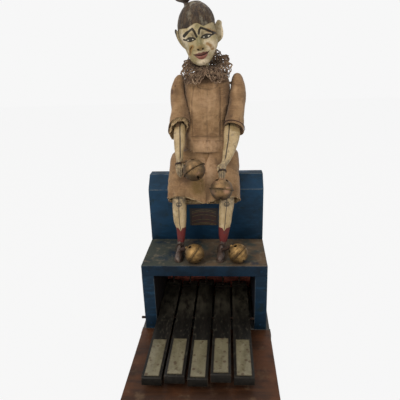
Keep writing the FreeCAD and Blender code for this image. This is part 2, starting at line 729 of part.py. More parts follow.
SIDES = {"left": -1, "right": 1}
ROD_OF_ARM = {"left": 1, "right": 5}
ROD_OF_LEG = {"left": 2, "right": 4}
for name, side in SIDES.items():
    make_crank(
        f"shoulder_crank_{name}", side, "size.shoulder_back", "size.shoulder_height",
        rod_x(ROD_OF_ARM[name]), f"size.arm_{name} + {side} * size.arm_radius",
    )
    make_crank(
        f"hip_crank_{name}", side, "size.hip_back", "size.hip_height",
        rod_x(ROD_OF_LEG[name]), f"size.thigh_{name} + {side} * size.thigh_radius",
    )

# ---- arms -----------------------------------------------------------------------------------------


def tongue(pivot, root, thick, radius, bore):
    """A flat tongue from root to pivot, rounded about the pivot, with its hole."""
    direction = (root - pivot).normalize()
    flat = Part.makeCylinder(radius, thick, pivot - V(thick / 2, 0, 0), X_AXIS)
    side = direction.cross(X_AXIS)
    corner = pivot - V(thick / 2, 0, 0) - side * radius
    length = (root - pivot).Length
    blade = Part.makePolygon([
        corner,
        corner + side * 2 * radius,
        corner + side * 2 * radius + direction * length,
        corner + direction * length,
        corner,
    ])
    blade = Part.Face(blade).extrude(V(thick, 0, 0))
    hole = Part.makeCylinder(bore, 4 * thick, pivot - V(2 * thick, 0, 0), X_AXIS)
    return flat.fuse(blade).cut(hole)


PIN_R = number("size.pin_radius")
TONGUE = number("size.tongue_thickness")
TONGUE_R = number("size.tongue_radius")
SLOT = TONGUE + 2 * number("size.fork_clearance")
PIN_BORE = PIN_R + number("size.running_clearance")


def pin_through(pivot, half_length):
    return Part.makeCylinder(PIN_R, 2 * half_length, pivot - V(half_length, 0, 0), X_AXIS)


def make_upper_arm(name):
    """Turned bar from the shoulder shaft to the tongue at the elbow."""
    shoulder = point(f"size.arm_{name}", "size.shoulder_back", "size.shoulder_height")
    elbow = point(f"size.arm_{name}", "size.elbow_back", "size.elbow_height")
    along = (elbow - shoulder).normalize()
    r = number("size.arm_radius")
    end = elbow - along * (TONGUE_R + 4.6)
    bar = loft([
        ring(shoulder - along * r, along, r * 0.7, r * 0.7),
        ring(shoulder + along * r, along, r, r),
        ring(end, along, r * 0.9, r * 0.9),
    ])
    shaft_hole = rod_along_x(shoulder.y, shoulder.z, shoulder.x - 3 * r, shoulder.x + 3 * r,
                             number("size.crank_radius") + 0.02)
    arm = bar.fuse(tongue(elbow, end - along, TONGUE, TONGUE_R, PIN_BORE)).cut(shaft_hole)
    return solid(f"upper_arm_{name}", arm.removeSplitter())


def make_forearm(name):
    """Carved forearm and hand, forked at the elbow."""
    elbow = point(f"size.arm_{name}", "size.elbow_back", "size.elbow_height")
    hand = point(f"size.hand_{name}", f"size.hand_{name}_back", f"size.hand_{name}_height")
    along = V(hand - elbow)
    length = along.Length
    along.normalize()
    wide = number("size.arm_radius") + 1.3
    deep = number("size.arm_radius") - 0.4
    arm = loft([
        ring(elbow - along * 3.6, along, wide * 0.86, deep * 0.8),
        ring(elbow + along * 2, along, wide, deep),
        ring(elbow + along * length * 0.45, along, wide * 0.78, deep * 0.8),
        ring(elbow + along * length * 0.78, along, wide * 0.46, deep * 0.6),
        ring(elbow + along * length * 0.92, along, wide * 0.56, deep * 0.66),
        ring(elbow + along * (length + 7), along, wide * 0.34, deep * 0.4),
    ])
    reach = TONGUE_R + 0.5
    slot = Part.makeBox(SLOT, 2 * reach + 8, 2 * reach + 2, V(-SLOT / 2, -reach - 4, -reach))
    straight = V(0, -along.y, -along.z)
    slot.Placement = FreeCAD.Placement(elbow, FreeCAD.Rotation(Z_AXIS, straight))
    arm = arm.cut(slot)
    pin = pin_through(elbow, wide * 0.9)
    return solid(f"forearm_{name}", arm.fuse(pin).removeSplitter())


def make_sleeve(name):
    """Cloth tube over the upper arm, its hem lower behind than in front."""
    shoulder = point(f"size.arm_{name}", "size.shoulder_back", "size.shoulder_height")
    elbow = point(f"size.arm_{name}", "size.elbow_back", "size.elbow_height")
    along = V(elbow - shoulder).normalize()
    rise = number("size.sleeve_rise")
    length = (elbow - shoulder).Length - number("size.sleeve_short")
    top = number("size.sleeve_top_width") / 2
    hem = number("size.sleeve_hem_width") / 2
    wall = number("size.cloth_wall")

    def tube(inward, past):
        steps = 7
        rings = [ring(shoulder - along * (rise - inward), along, top * 0.6 - inward, top * 0.6 - inward)]
        for i in range(1, steps + 1):
            share = (i - 1) / (steps - 1)
            half = top + (hem - top) * share - inward
            distance = (rise + length + 8 + past) * i / steps - rise
            rings.append(ring(shoulder + along * distance, along, half, half * 1.04))
        return loft(rings)

    sleeve = tube(0, 0).cut(tube(wall, 1))
    shaft = rod_along_x(shoulder.y, shoulder.z, shoulder.x - 3 * top, shoulder.x + 3 * top,
                        number("size.crank_radius") + 0.4)
    forward = along.cross(X_AXIS)
    front_hem = shoulder + along * (length - number("size.sleeve_hem_slant")) + forward * 2 * hem
    rear_hem = shoulder + along * (length + number("size.sleeve_hem_slant")) - forward * 2 * hem
    trim = across_all([
        (front_hem.y, front_hem.z),
        (rear_hem.y, rear_hem.z),
        (rear_hem.y, rear_hem.z - 40),
        (front_hem.y, front_hem.z - 70),
    ])
    return solid(f"sleeve_{name}", sleeve.cut(shaft).cut(trim))


for name in SIDES:
    make_upper_arm(name)
    make_forearm(name)
    make_sleeve(name)

# ---- legs -----------------------------------------------------------------------------------------


def knee_point(name):
    return point(f"size.knee_{name}", "size.knee_back", "size.knee_height")


def make_thigh(name):
    """Wooden thigh from the hip shaft to the tongue at the knee."""
    hip = point(f"size.thigh_{name}", "size.hip_back", "size.hip_height")
    knee = knee_point(name)
    along = V(knee - hip)
    along.normalize()
    r = number("size.thigh_radius")
    end = knee - along * (TONGUE_R + 5.4)
    bar = loft([
        ring(hip - along * r, along, r * 0.85, r * 0.85),
        ring(hip + along * r, along, r, r),
        ring(end, along, r, r),
    ])
    shaft_hole = rod_along_x(hip.y, hip.z, hip.x - 3 * r, hip.x + 3 * r,
                             number("size.crank_radius") + 0.02)
    straight = V(0, along.y, along.z).normalize()
    root = knee - straight * (TONGUE_R + 6.4)
    leg = bar.fuse(tongue(knee, root, TONGUE, TONGUE_R, PIN_BORE)).cut(shaft_hole)
    return solid(f"thigh_{name}", leg.removeSplitter())


def make_lower_leg(name):
    """Carved shin, sock and shoe in one piece, forked at the knee."""
    knee = knee_point(name)
    ankle = point(f"size.ankle_{name}", "size.ankle_back", "size.ankle_height")
    down = V(ankle - knee)
    length = down.Length
    down.normalize()
    sole = number(SHELF_TOP) + number("size.seat_clearance")
    wide = number("size.calf_width") / 2
    deep = number("size.calf_depth") / 2
    shin = loft([
        ring(knee - down * 5, down, wide * 0.84, deep * 0.78),
        ring(knee, down, wide, deep),
        ring(knee + down * length * 0.35, down, wide * 0.92, deep),
        ring(knee + down * length * 0.62, down, wide * 0.68, deep * 0.86),
        ring(ankle, down, wide * 0.52, deep * 0.76),
    ])
    heel_y = number(back("size.heel_back"))
    toe_y = number(back("size.toe_back"))
    x = ankle.x
    front = V(0, -1, 0)
    shoe = loft([
        ring(V(x, heel_y, sole + 5.6), front, 2.4, 3.0),
        ring(V(x, heel_y - 5, sole + 6.6), front, 4.4, 6.5),
        ring(V(x, ankle.y - 6, sole + 5.0), front, 4.3, 4.9),
        ring(V(x, toe_y + 9, sole + 4.0), front, 4.9, 3.9),
        ring(V(x, toe_y, sole + 3.2), front, 2.6, 2.2),
    ])
    foot_core = loft([
        ring(ankle - V(0, 0, 1), V(0, 0, -1), 4.0, 4.3),
        ring(V(x, ankle.y, sole + 6), V(0, 0, -1), 3.9, 4.6),
    ])
    leg = shin.fuse([shoe, foot_core])
    straight = V(0, down.y, down.z).normalize()
    reach = TONGUE_R + 0.6
    slot = Part.makeBox(SLOT, 2 * reach + 14, 2 * reach + 6, V(-SLOT / 2, -reach - 7, -6))
    slot.Placement = FreeCAD.Placement(knee, FreeCAD.Rotation(Z_AXIS, straight * -1))
    leg = leg.cut(slot)
    pin = pin_through(knee, 6.8)
    return solid(f"lower_leg_{name}", leg.fuse(pin).removeSplitter())


for name in SIDES:
    make_thigh(name)
    make_lower_leg(name)


def make_trouser_leg(name):
    """Wide cloth leg that turns with the thigh. A round hollow about the hip keeps it off the body."""
    side = SIDES[name]
    hip = point(f"size.thigh_{name}", "size.hip_back", "size.hip_height")
    knee = knee_point(name)
    outer = side * number("size.trouser_outer")
    inner = number("size.trouser_middle") + side * number("size.trouser_gap") / 2
    beside = number(TORSO_RIGHT if side > 0 else TORSO_LEFT) + side * 0.9
    r = number("size.trouser_radius")
    wall = number("size.cloth_wall")
    flat = V(0, knee.y - hip.y, knee.z - hip.z)
    length = flat.Length
    flat.normalize()
    down = V(0, -0.12, -1).normalize()
    bend = (flat + down).normalize()
    lift = V(0, flat.z, -flat.y)

    def leg(inward, drop):
        half = abs(outer - inner) / 2 - inward
        middle = (outer + inner) / 2
        hip_half = abs(outer - beside) / 2 - inward
        hip_middle = (outer + beside) / 2
        at_hip = V(hip_middle, hip.y, hip.z)
        at_knee = V(middle, knee.y, knee.z)
        return loft([
            ring(at_hip + lift * 2, flat, hip_half, r - 2 - inward),
            ring(at_hip + flat * length * 0.3 + V((middle - hip_middle) * 0.45, 0, 0) + lift * 3.4, flat,
                 (hip_half + half) / 2, r - 2.4 - inward),
            ring(V(middle, hip.y, hip.z) + flat * length * 0.66 + lift * 2.4, flat,
                 half * 0.98, r - 1.6 - inward),
            ring(at_knee + flat * 1.5, bend, half, r - inward),
            ring(at_knee + down * (14 + drop), down, half, r - 0.8 - inward),
        ])

    cloth = leg(0, 0)
    drum_end = outer - side * 3
    drum = rod_along_x(hip.y, hip.z, beside, drum_end, r)
    hollow = leg(wall, 2)
    drum_hollow = rod_along_x(hip.y, hip.z, beside - side, drum_end - side * wall, r - wall)
    ahead = hip.y - number(back("size.torso_front"))
    clear_of_body = rod_along_x(hip.y, hip.z, beside, inner - side * 2, ahead + 7.5)
    hem_front = number(above("size.hem_front_height"))
    hem_back = number(above("size.hem_back_height"))
    hem_y = knee.y - r
    hem_rear_y = knee.y + r
    slant = (hem_front - hem_back) / (hem_rear_y - hem_y)
    trim = across_all([
        (hem_y - 10, hem_front + 10 * slant),
        (hem_rear_y + 10, hem_back - 10 * slant),
        (hem_rear_y + 10, hem_back - 60),
        (hem_y - 10, hem_back - 60),
    ])
    trousers = cloth.fuse(drum).cut(hollow).cut(drum_hollow).cut(clear_of_body).cut(trim)
    return solid(f"trouser_leg_{name}", trousers)


for name in SIDES:
    make_trouser_leg(name)

# ---- bells ----------------------------------------------------------------------------------------


def make_bell(label, middle, pole, target, radius, limb):
    """A crotal bell: two stamped shells, a rolled rim, a loose pellet and a shank driven into a limb."""
    wall = number("size.bell_wall")
    rim = number("size.bell_rim")
    rim_height = number("size.bell_rim_height")
    core = V(0, 0, 0)
    shell = Part.makeSphere(radius, core).cut(Part.makeSphere(radius - wall, core))
    band = Part.makeCylinder(radius + rim, rim_height, V(0, 0, -rim_height / 2))
    band = band.cut(Part.makeCylinder(radius - wall, rim_height, V(0, 0, -rim_height / 2)))
    lower_space = Part.makeBox(4 * radius, 4 * radius, 2 * radius, V(-2 * radius, -2 * radius, -2 * radius))
    slot = number("size.bell_slot")
    cut_slot = Part.makeBox(slot, 1.3 * radius, 2 * radius, V(-slot / 2, -0.65 * radius, -2 * radius))
    holes = [
        Part.makeCylinder(number("size.bell_hole_radius"), 2 * radius, core,
                          V(math.cos(turn) * 0.62, math.sin(turn) * 0.62, 0.8))
        for turn in [math.radians(90 * i + 45) for i in range(4)]
    ]
    upper = shell.cut(lower_space).cut(Part.makeCompound(holes))
    lower = shell.common(lower_space).cut(cut_slot)
    body = upper.fuse([lower, band]).removeSplitter()
    body.Placement = FreeCAD.Placement(middle, FreeCAD.Rotation(Z_AXIS, pole))
    crown = middle + V(pole).normalize() * radius
    reach = V(target - crown)
    wire = number("size.bell_shank_radius")
    shank = Part.makeCylinder(wire, reach.Length, crown, reach)
    knob = Part.makeSphere(1.4 * wire, crown)
    body = body.fuse([shank, knob]).cut(limb.Shape)
    pellet_r = number("size.pellet_radius")
    drop = radius - wall - pellet_r - 0.25
    pellet = Part.makeSphere(pellet_r, middle - V(0, 0, drop))
    return solid(label, Part.makeCompound([body, pellet]))


ON_THE_SHELF = "size.shelf_height + size.foot_bell_radius + size.seat_clearance"
BELL_POLES = {
    "hand_bell_left": V(-0.53, 0.36, 0.77),
    "hand_bell_right": V(0.08, 0.36, 0.93),
    "foot_bell_left": V(-0.81, 0.18, 0.56),
    "foot_bell_right": V(-0.69, 0.22, 0.69),
}
LIMBS = {part.Label: part for part in PARTS}
hand_places = {
    name: point(f"size.hand_{name}", f"size.hand_{name}_back", f"size.hand_{name}_height")
    for name in SIDES
}
WRIST_SHARE = {"left": 0.22, "right": 0.02}
for name in SIDES:
    label = f"hand_bell_{name}"
    middle = point(f"size.{label}", f"size.{label}_back", f"size.{label}_height")
    elbow = point(f"size.arm_{name}", "size.elbow_back", "size.elbow_height")
    wrist = hand_places[name] + (elbow - hand_places[name]) * WRIST_SHARE[name]
    make_bell(label, middle, BELL_POLES[label], wrist, number("size.hand_bell_radius"), LIMBS[f"forearm_{name}"])
    label = f"foot_bell_{name}"
    middle = point(f"size.{label}", f"size.{label}_back", ON_THE_SHELF)
    instep = point(f"size.ankle_{name}", "size.toe_back + 16", "size.shelf_height + 7")
    make_bell(label, middle, BELL_POLES[label], instep, number("size.foot_bell_radius"), LIMBS[f"lower_leg_{name}"])

# ---- head -----------------------------------------------------------------------------------------


def make_head():
    """Long carved head with pointed ears, on a dowel that the neck pin crosses."""
    pivot = point("size.figure_shift", "size.neck_back", "size.neck_height")
    half_w = number("size.head_width") / 2
    half_d = number("size.head_depth") / 2
    tall = number("size.head_height")
    chin = pivot.z + number("size.chin_rise")
    middle_y = number(back("size.neck_back")) - 9.5
    up = Z_AXIS
    slices = [
        (-0.015, 0, -9, 0.20, 0.24),
        (0.04, 0, -7.5, 0.39, 0.42),
        (0.16, 0, -5, 0.70, 0.67),
        (0.34, 0, -2, 0.93, 0.88),
        (0.55, 0, 0, 1.0, 0.98),
        (0.74, 1.4, 1, 0.96, 0.94),
        (0.90, 2, 1.5, 0.64, 0.64),
        (1.0, 2.2, 1.5, 0.15, 0.15),
    ]
    skull = loft([
        ring(V(pivot.x + lean, middle_y + shift, chin + share * tall), up, half_w * wide, half_d * deep)
        for share, lean, shift, wide, deep in slices
    ])
    features = []
    ear_z = chin + 0.43 * tall
    for side in (-1, 1):
        root = V(pivot.x + side * half_w * 0.88, middle_y + 2, ear_z)
        ear = loft([
            ring(root - V(0, 0, 8), up, 2.2, 2.4),
            ring(root + V(side * 2.4, 1.5, 0), up, 3.6, 4.6),
            ring(root + V(side * 4.6, 3, 8), up, 2.2, 3.4),
            ring(root + V(side * 5.6, 4, 13), up, 0.7, 1.0),
        ])
        features.append(ear)
    nose_y = middle_y - half_d * 0.90
    nose = loft([
        ring(V(pivot.x, nose_y + 2.4, chin + 0.38 * tall), up, 1.4, 1.6),
        ring(V(pivot.x, nose_y - 0.4, chin + 0.25 * tall), up, 2.6, 3.2),
        ring(V(pivot.x, nose_y - 1.2, chin + 0.21 * tall), up, 3.2, 3.2),
        ring(V(pivot.x, nose_y + 0.6, chin + 0.17 * tall), up, 1.8, 2.0),
    ])
    features.append(nose)
    carved = skull.fuse(features)
    carved.rotate(pivot, Y_AXIS, -number("size.head_tilt"))
    dowel_r = number("size.neck_radius")
    dowel = Part.makeCylinder(dowel_r, number("size.chin_rise"), pivot - V(0, 0, dowel_r))
    lean = V(math.sin(math.radians(-number("size.head_tilt"))), 0, 1)
    throat = loft([
        ring(pivot + V(0, 0, 12.5), up, 4.6, 4.6),
        ring(pivot + lean * 19 + V(0, -2, 0), up, 8.5, 8.5),
        ring(pivot + lean * 33 + V(0, -6, 0), up, 11, 12),
    ])
    pin_hole = rod_along_x(pivot.y, pivot.z, pivot.x - 20, pivot.x + 20,
                           number("size.pin_radius + size.running_clearance"))
    head = carved.fuse([dowel, throat]).cut(pin_hole)
    return solid("head", head)


def make_nod_lever():
    """Steel strip from the neck dowel forward to its finger over the middle push rod."""
    pivot = point("size.figure_shift", "size.neck_back", "size.neck_height")
    rod_y = number(back("size.rod_back"))
    tip = number("size.rod_tip_radius")
    web = number("size.web_thickness")
    finger_r = number("size.finger_radius")
    x = pivot.x + tip + number("size.seat_clearance")
    end = pivot.y - number("size.neck_radius") * 0.8
    bar = Part.makeBox(web, end - rod_y, 2 * finger_r, V(x, rod_y, pivot.z - finger_r))
    finger = rod_along_x(rod_y, pivot.z, x + web, pivot.x - tip, finger_r)
    dowel = Part.makeCylinder(number("size.neck_radius"), 40, pivot - V(0, 0, 20))
    lever = bar.fuse(finger).cut(dowel).removeSplitter()
    return solid("nod_lever", lever)


def make_topknot():
    """Tuft on the crown, leaning the way the head leans."""
    pivot = point("size.figure_shift", "size.neck_back", "size.neck_height")
    crown = pivot + V(-4.5, -8, number("size.chin_rise") + number("size.head_height") - 4.5)
    tuft = loft([
        ring(crown, Z_AXIS, 3.6, 3.6),
        ring(crown + V(-1.2, 0, 3.4), Z_AXIS, 3.4, 3.4),
        ring(crown + V(-2.4, 0, 7), Z_AXIS, 7.4, 6.2),
        ring(crown + V(-3.6, 0, 10.6), Z_AXIS, 6.6, 5.6),
        ring(crown + V(-4.4, 0, 13.6), Z_AXIS, 1.6, 1.6),
    ])
    tuft.rotate(pivot, Y_AXIS, -number("size.head_tilt"))
    return solid("topknot", tuft.cut(head.Shape))


head = make_head()
make_nod_lever()
make_topknot()

# ---- clothes on the body --------------------------------------------------------------------------


def make_romper():
    """Bodice over the wooden body, open at the neck, with a centre skirt down to the seat."""
    x = number("size.figure_shift")
    y = number(back("size.torso_front + size.torso_depth / 2"))
    half_w = number("size.romper_width") / 2
    half_d = number("size.romper_depth") / 2
    slices = [
        ("size.romper_low", 1.0, 1.0),
        ("size.romper_low + 14", 0.985, 1.0),
        ("size.torso_top - 34", 1.0, 1.0),
        ("size.torso_top - 4", 0.99, 0.99),
        ("size.torso_top + 2.5", 0.9, 0.9),
    ]
    bodice = loft([
        ring(V(x, y, number(above(height))), Z_AXIS, half_w * wide, half_d * deep)
        for height, wide, deep in slices
    ])
    wood = number("size.torso_width") / 2
    skirt_low = number(above("size.seat_height")) + 1.5
    skirt_high = number(above("size.romper_low")) + 1
    front = y - half_d + 1.5
    rear = y + half_d - 1
    skirt = Part.makeBox(2 * wood - 1, rear - front, skirt_high - skirt_low, V(x - wood + 0.5, front, skirt_low))
    upright = [edge for edge in skirt.Edges if edge.BoundBox.ZLength > 5]
    skirt = skirt.makeFillet(6, upright)
    romper = bodice.fuse(skirt)
    neck_y = number(back("size.neck_back + 1"))
    neck_hole = Part.makeCylinder(
        number("size.neck_radius") + 3, 30, V(x, neck_y, number(above("size.torso_top")) - 5)
    )
    sleeves_clear = []
    for name in SIDES:
        shoulder = point(f"size.arm_{name}", "size.shoulder_back", "size.shoulder_height")
        reach = number("size.crank_radius") + 0.4
        sleeves_clear.append(rod_along_x(shoulder.y, shoulder.z, shoulder.x, x, reach))
    return solid("romper", romper.cut(torso_outer.Shape).cut(neck_hole).cut(Part.makeCompound(sleeves_clear)))


def make_collar(romper):
    """Standing lace collar: a shallow bowl, lower in front, that the chin looks over."""
    x = number("size.figure_shift")
    y = number(back("size.torso_front + size.torso_depth / 2"))
    half_w = number("size.collar_width") / 2
    half_d = number("size.collar_depth") / 2
    low = number(above("size.collar_low"))
    high = number(above("size.collar_back_high"))
    front_high = number(above("size.collar_front_high"))
    neck = number("size.collar_neck")
    seat = number(above("size.torso_top")) + 3.2

    outer = loft([
        ring(V(x, y, low), Z_AXIS, half_w * 0.95, half_d * 0.93),
        ring(V(x, y, (low + high) / 2), Z_AXIS, half_w, half_d),
        ring(V(x, y, high), Z_AXIS, half_w * 0.94, half_d * 0.94),
    ])
    inner = loft([
        ring(V(x, y, seat), Z_AXIS, half_w * 0.72, half_d * 0.78),
        ring(V(x, y, (seat + high) / 2), Z_AXIS, half_w * 0.92, half_d * 0.92),
        ring(V(x, y, high + 1), Z_AXIS, half_w * 0.87, half_d * 0.87),
    ])
    hole = Part.makeCylinder(neck, 60, V(x, y + 3, low - 10))
    slope = across_all([
        (y - 60, front_high - 6),
        (y - 10, front_high + 1),
        (y + 14, high),
        (y + 60, high),
        (y + 60, high + 60),
        (y - 60, high + 60),
    ])
    collar = outer.cut(inner).cut(hole).cut(romper.Shape).cut(torso_outer.Shape).cut(slope)
    shoulder_top = number(above("size.shoulder_height + size.sleeve_rise")) + 1.5
    for name, side in SIDES.items():
        beside = number(f"size.arm_{name}") - side * (number("size.sleeve_top_width") / 2 + 1.4)
        corner = V(min(beside, beside + side * 60), y - 60, low - 10)
        collar = collar.cut(Part.makeBox(60, 120, shoulder_top - low + 10, corner))
    return solid("lace_collar", collar)


make_collar(make_romper())

# ---- checks and export ----------------------------------------------------------------------------

doc.recompute()
for thing in doc.Objects:
    if {"Invalid", "Error"} & set(thing.State):
        raise RuntimeError(f"{thing.Name} failed: {thing.State}")
for part in PARTS:
    if part.Shape.isNull() or not part.Shape.isValid() or not part.Shape.Solids:
        raise RuntimeError(f"{part.Label} is not a valid solid")

os.makedirs("parts", exist_ok=True)
for part in PARTS:
    part.Shape.exportStep(f"parts/{part.Label}.step")
    box = part.Shape.BoundBox
    print(f"{part.Label}: {len(part.Shape.Solids)} solids, {part.Shape.Volume:.0f} mm3, "
          f"x {box.XMin:.1f}..{box.XMax:.1f} y {box.YMin:.1f}..{box.YMax:.1f} z {box.ZMin:.1f}..{box.ZMax:.1f}")
print(f"{len(PARTS)} nodes")
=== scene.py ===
"""Key-played clown bell ringer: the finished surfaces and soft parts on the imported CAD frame."""

import json
import math

import bpy
import numpy as np
from mathutils import Matrix, Vector, noise


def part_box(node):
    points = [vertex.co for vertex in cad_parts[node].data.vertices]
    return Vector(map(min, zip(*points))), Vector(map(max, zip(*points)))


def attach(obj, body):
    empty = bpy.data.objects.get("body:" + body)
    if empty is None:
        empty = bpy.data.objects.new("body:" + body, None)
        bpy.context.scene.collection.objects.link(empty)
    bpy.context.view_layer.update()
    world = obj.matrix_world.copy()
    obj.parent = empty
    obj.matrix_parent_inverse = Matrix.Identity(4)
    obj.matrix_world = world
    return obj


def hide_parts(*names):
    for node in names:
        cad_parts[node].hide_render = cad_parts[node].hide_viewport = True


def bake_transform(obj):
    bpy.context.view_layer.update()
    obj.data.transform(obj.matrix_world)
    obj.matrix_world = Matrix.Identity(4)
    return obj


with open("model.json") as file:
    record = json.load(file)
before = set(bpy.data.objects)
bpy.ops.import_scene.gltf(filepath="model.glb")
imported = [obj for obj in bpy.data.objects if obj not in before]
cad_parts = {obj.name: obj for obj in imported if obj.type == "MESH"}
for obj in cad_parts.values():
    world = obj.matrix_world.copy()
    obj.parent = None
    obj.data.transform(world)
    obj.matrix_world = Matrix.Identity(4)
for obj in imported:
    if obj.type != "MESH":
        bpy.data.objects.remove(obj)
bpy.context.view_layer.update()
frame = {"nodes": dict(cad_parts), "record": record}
NODES = frame["nodes"]
RECORD = frame["record"]
MM = 0.001
SIDES = {"left": -1, "right": 1}
BODY_OF = {n: body for body, members in RECORD["behaviour"]["bodies"].items() for n in members}
JOINT_AT = {j["name"]: Vector(j["pos_m"]) for j in RECORD["behaviour"]["joints"] if "pos_m" in j}

# ---- colour and shader helpers --------------------------------------------------------------------


def linear(code):
    """Linear RGBA of an sRGB hex colour."""
    parts = [int(code[i:i + 2], 16) / 255 for i in (1, 3, 5)]
    return [c / 12.92 if c <= 0.04045 else ((c + 0.055) / 1.055) ** 2.4 for c in parts] + [1]


def add(tree, kind, inputs=(), out=0, **settings):
    """Adds a shader node with its settings, fills or links its inputs, and returns an output."""
    made = tree.nodes.new("ShaderNode" + kind)
    for name, value in settings.items():
        setattr(made, name, value)
    for key, value in dict(inputs).items():
        if isinstance(value, bpy.types.NodeSocket):
            tree.links.new(value, made.inputs[key])
        else:
            made.inputs[key].default_value = value
    return made.outputs[out]


def mask(tree, kind, size=10, low=0.45, high=0.6, stretch=(1, 1, 1), detail=5, axis="Z", shift=0):
    """A value from 0 to 1 over a surface. Sizes and places are in millimetres."""
    place = add(tree, "TexCoord", out="Object")
    place = add(tree, "VectorMath", {0: place, 1: stretch}, operation="MULTIPLY")
    if shift:
        place = add(tree, "VectorMath", {0: place, 1: (shift, shift * 0.7, -shift)}, operation="ADD")
    scale = 1 / (size * MM)
    if kind == "noise":
        value = add(tree, "TexNoise", {"Vector": place, "Scale": scale, "Detail": detail, "Roughness": 0.6})
    elif kind == "cells":
        value = add(tree, "TexVoronoi", {"Vector": place, "Scale": scale})
    elif kind == "edge":
        rounded = add(tree, "Bevel", {"Radius": size * MM}, samples=8)
        flat = add(tree, "NewGeometry", out="Normal")
        value = add(tree, "VectorMath", {0: rounded, 1: flat}, out="Value", operation="DOT_PRODUCT")
    elif kind == "facing":
        normal = add(tree, "NewGeometry", out="Normal")
        value = add(tree, "SeparateXYZ", {0: normal}, out=axis)
    elif kind == "place":
        value = add(tree, "SeparateXYZ", {0: place}, out=axis)
        low, high = low * MM, high * MM
    else:
        value = add(tree, "Attribute", out="Fac", attribute_name=kind)
    inputs = {"Value": value, "From Min": low, "From Max": high}
    return add(tree, "MapRange", inputs, interpolation_type="SMOOTHSTEP")


def sized(kind):
    """Makes masks of one kind from a size and the values where they begin and are full."""
    return lambda size, low, high, **more: dict(kind=kind, size=size, low=low, high=high, **more)


def sided(kind):
    """Makes masks of one kind along an axis."""
    return lambda axis, low, high: dict(kind=kind, axis=axis, low=low, high=high)


grain, cells, edges = (sized(kind) for kind in ("noise", "cells", "edge"))
facing, beyond = (sided(kind) for kind in ("facing", "place"))


def painted(name, low, high):
    """A mask that reads a value painted on the mesh."""
    return dict(kind=name, low=low, high=high)


def grit(depth, size, **more):
    """A bump of fine noise."""
    return depth, [grain(size, 0.3, 0.7, **more)]


LEVEL = facing("Z", 0.75, 0.95)
HAIR, SOCK, LEATHER = painted("hair", 0.2, 0.8), painted("sock", 0.3, 0.7), painted("leather", 0.3, 0.7)


def product(tree, masks):
    """The product of several masks, each given as the settings of one."""
    value = None
    for settings in masks:
        made = mask(tree, **settings)
        value = made if value is None else add(tree, "Math", {0: value, 1: made}, operation="MULTIPLY")
    return value


def finish(name, base, layers=(), bumps=(), roughness=0.5, **values):
    """A material: a base colour, layers of (colour, amount, masks, roughness) over it, and bumps of
    (depth in mm, masks)."""
    made = bpy.data.materials.new(name)
    made.use_nodes = True
    tree = made.node_tree
    shader = tree.nodes["Principled BSDF"]
    colour = linear(base)
    rough = roughness
    for code, amount, masks, layer_rough in layers:
        factor = add(tree, "Math", {0: product(tree, masks), 1: amount}, operation="MULTIPLY")
        colour = add(tree, "Mix", {0: factor, 6: colour, 7: linear(code)}, out=2, data_type="RGBA")
        rough = add(tree, "Mix", {0: factor, 2: rough, 3: layer_rough})
    normal = None
    for depth, masks in bumps:
        inputs = {"Height": product(tree, masks), "Distance": depth * MM, "Strength": 1}
        if normal is not None:
            inputs["Normal"] = normal
        normal = add(tree, "Bump", inputs)
    for key, value in (("Base Color", colour), ("Roughness", rough), ("Normal", normal)):
        if isinstance(value, bpy.types.NodeSocket):
            tree.links.new(value, shader.inputs[key])
        elif value is not None:
            shader.inputs[key].default_value = value
    for key, value in values.items():
        shader.inputs[key.replace("_", " ")].default_value = value
    return made


# ---- mesh helpers ---------------------------------------------------------------------------------


def only(*objects):
    """Selects these objects and nothing else."""
    bpy.ops.object.select_all(action="DESELECT")
    for obj in objects:
        obj.select_set(True)
    bpy.context.view_layer.objects.active = objects[0]


def own(obj, name, material, body=None, replaced=()):
    """Names a finished piece, puts its place into its mesh, and hangs it on a body of the frame."""
    only(obj)
    bpy.ops.object.transform_apply(location=True, rotation=True, scale=True)
    obj.name = name
    obj.data.name = name
    obj.data.materials.clear()
    obj.data.materials.append(material)
    if body:
        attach(obj, body)
    if replaced:
        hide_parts(*replaced)
    return obj


def copy_of(node, name):
    """A merged copy of a CAD node's mesh, free of the frame."""
    obj = NODES[node].copy()
    obj.data = obj.data.copy()
    obj.parent = None
    obj.hide_render = False
    for key in list(obj.keys()):
        del obj[key]
    obj.name = name
    bpy.context.scene.collection.objects.link(obj)
    only(obj)
    bpy.ops.object.mode_set(mode="EDIT")
    bpy.ops.mesh.select_all(action="SELECT")
    bpy.ops.mesh.remove_doubles(threshold=0.00001)
    bpy.ops.mesh.dissolve_limited(angle_limit=math.radians(1))
    bpy.ops.object.mode_set(mode="OBJECT")
    return obj


def modify(obj, kind, **settings):
    """Adds a modifier and applies it."""
    only(obj)
    made = obj.modifiers.new(kind, kind)
    for key, value in settings.items():
        setattr(made, key, value)
    bpy.ops.object.modifier_apply(modifier=made.name)
    return obj


def worn_edges(node, material, width=0.6):
    """Stands for a CAD node, with its sharp edges rounded over as handling wears them."""
    obj = copy_of(node, f"{node}_worn")
    modify(obj, "BEVEL", width=width * MM, segments=3, limit_method="ANGLE", angle_limit=math.radians(35))
    bpy.ops.object.shade_smooth_by_angle(angle=math.radians(40))
    return own(obj, f"{node}_worn", material, BODY_OF[node], [node])


def dress(material, *nodes):
    """Gives CAD nodes their surface as they are."""
    for node in nodes:
        NODES[node].data.materials.clear()
        NODES[node].data.materials.append(material)
        only(NODES[node])
        bpy.ops.object.shade_smooth_by_angle(angle=math.radians(35))


# ---- surfaces of the case -------------------------------------------------------------------------

# The rail and the side boards are painted over as one: no edge shows where they meet.
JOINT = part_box("shelf_board")[0][2] / MM

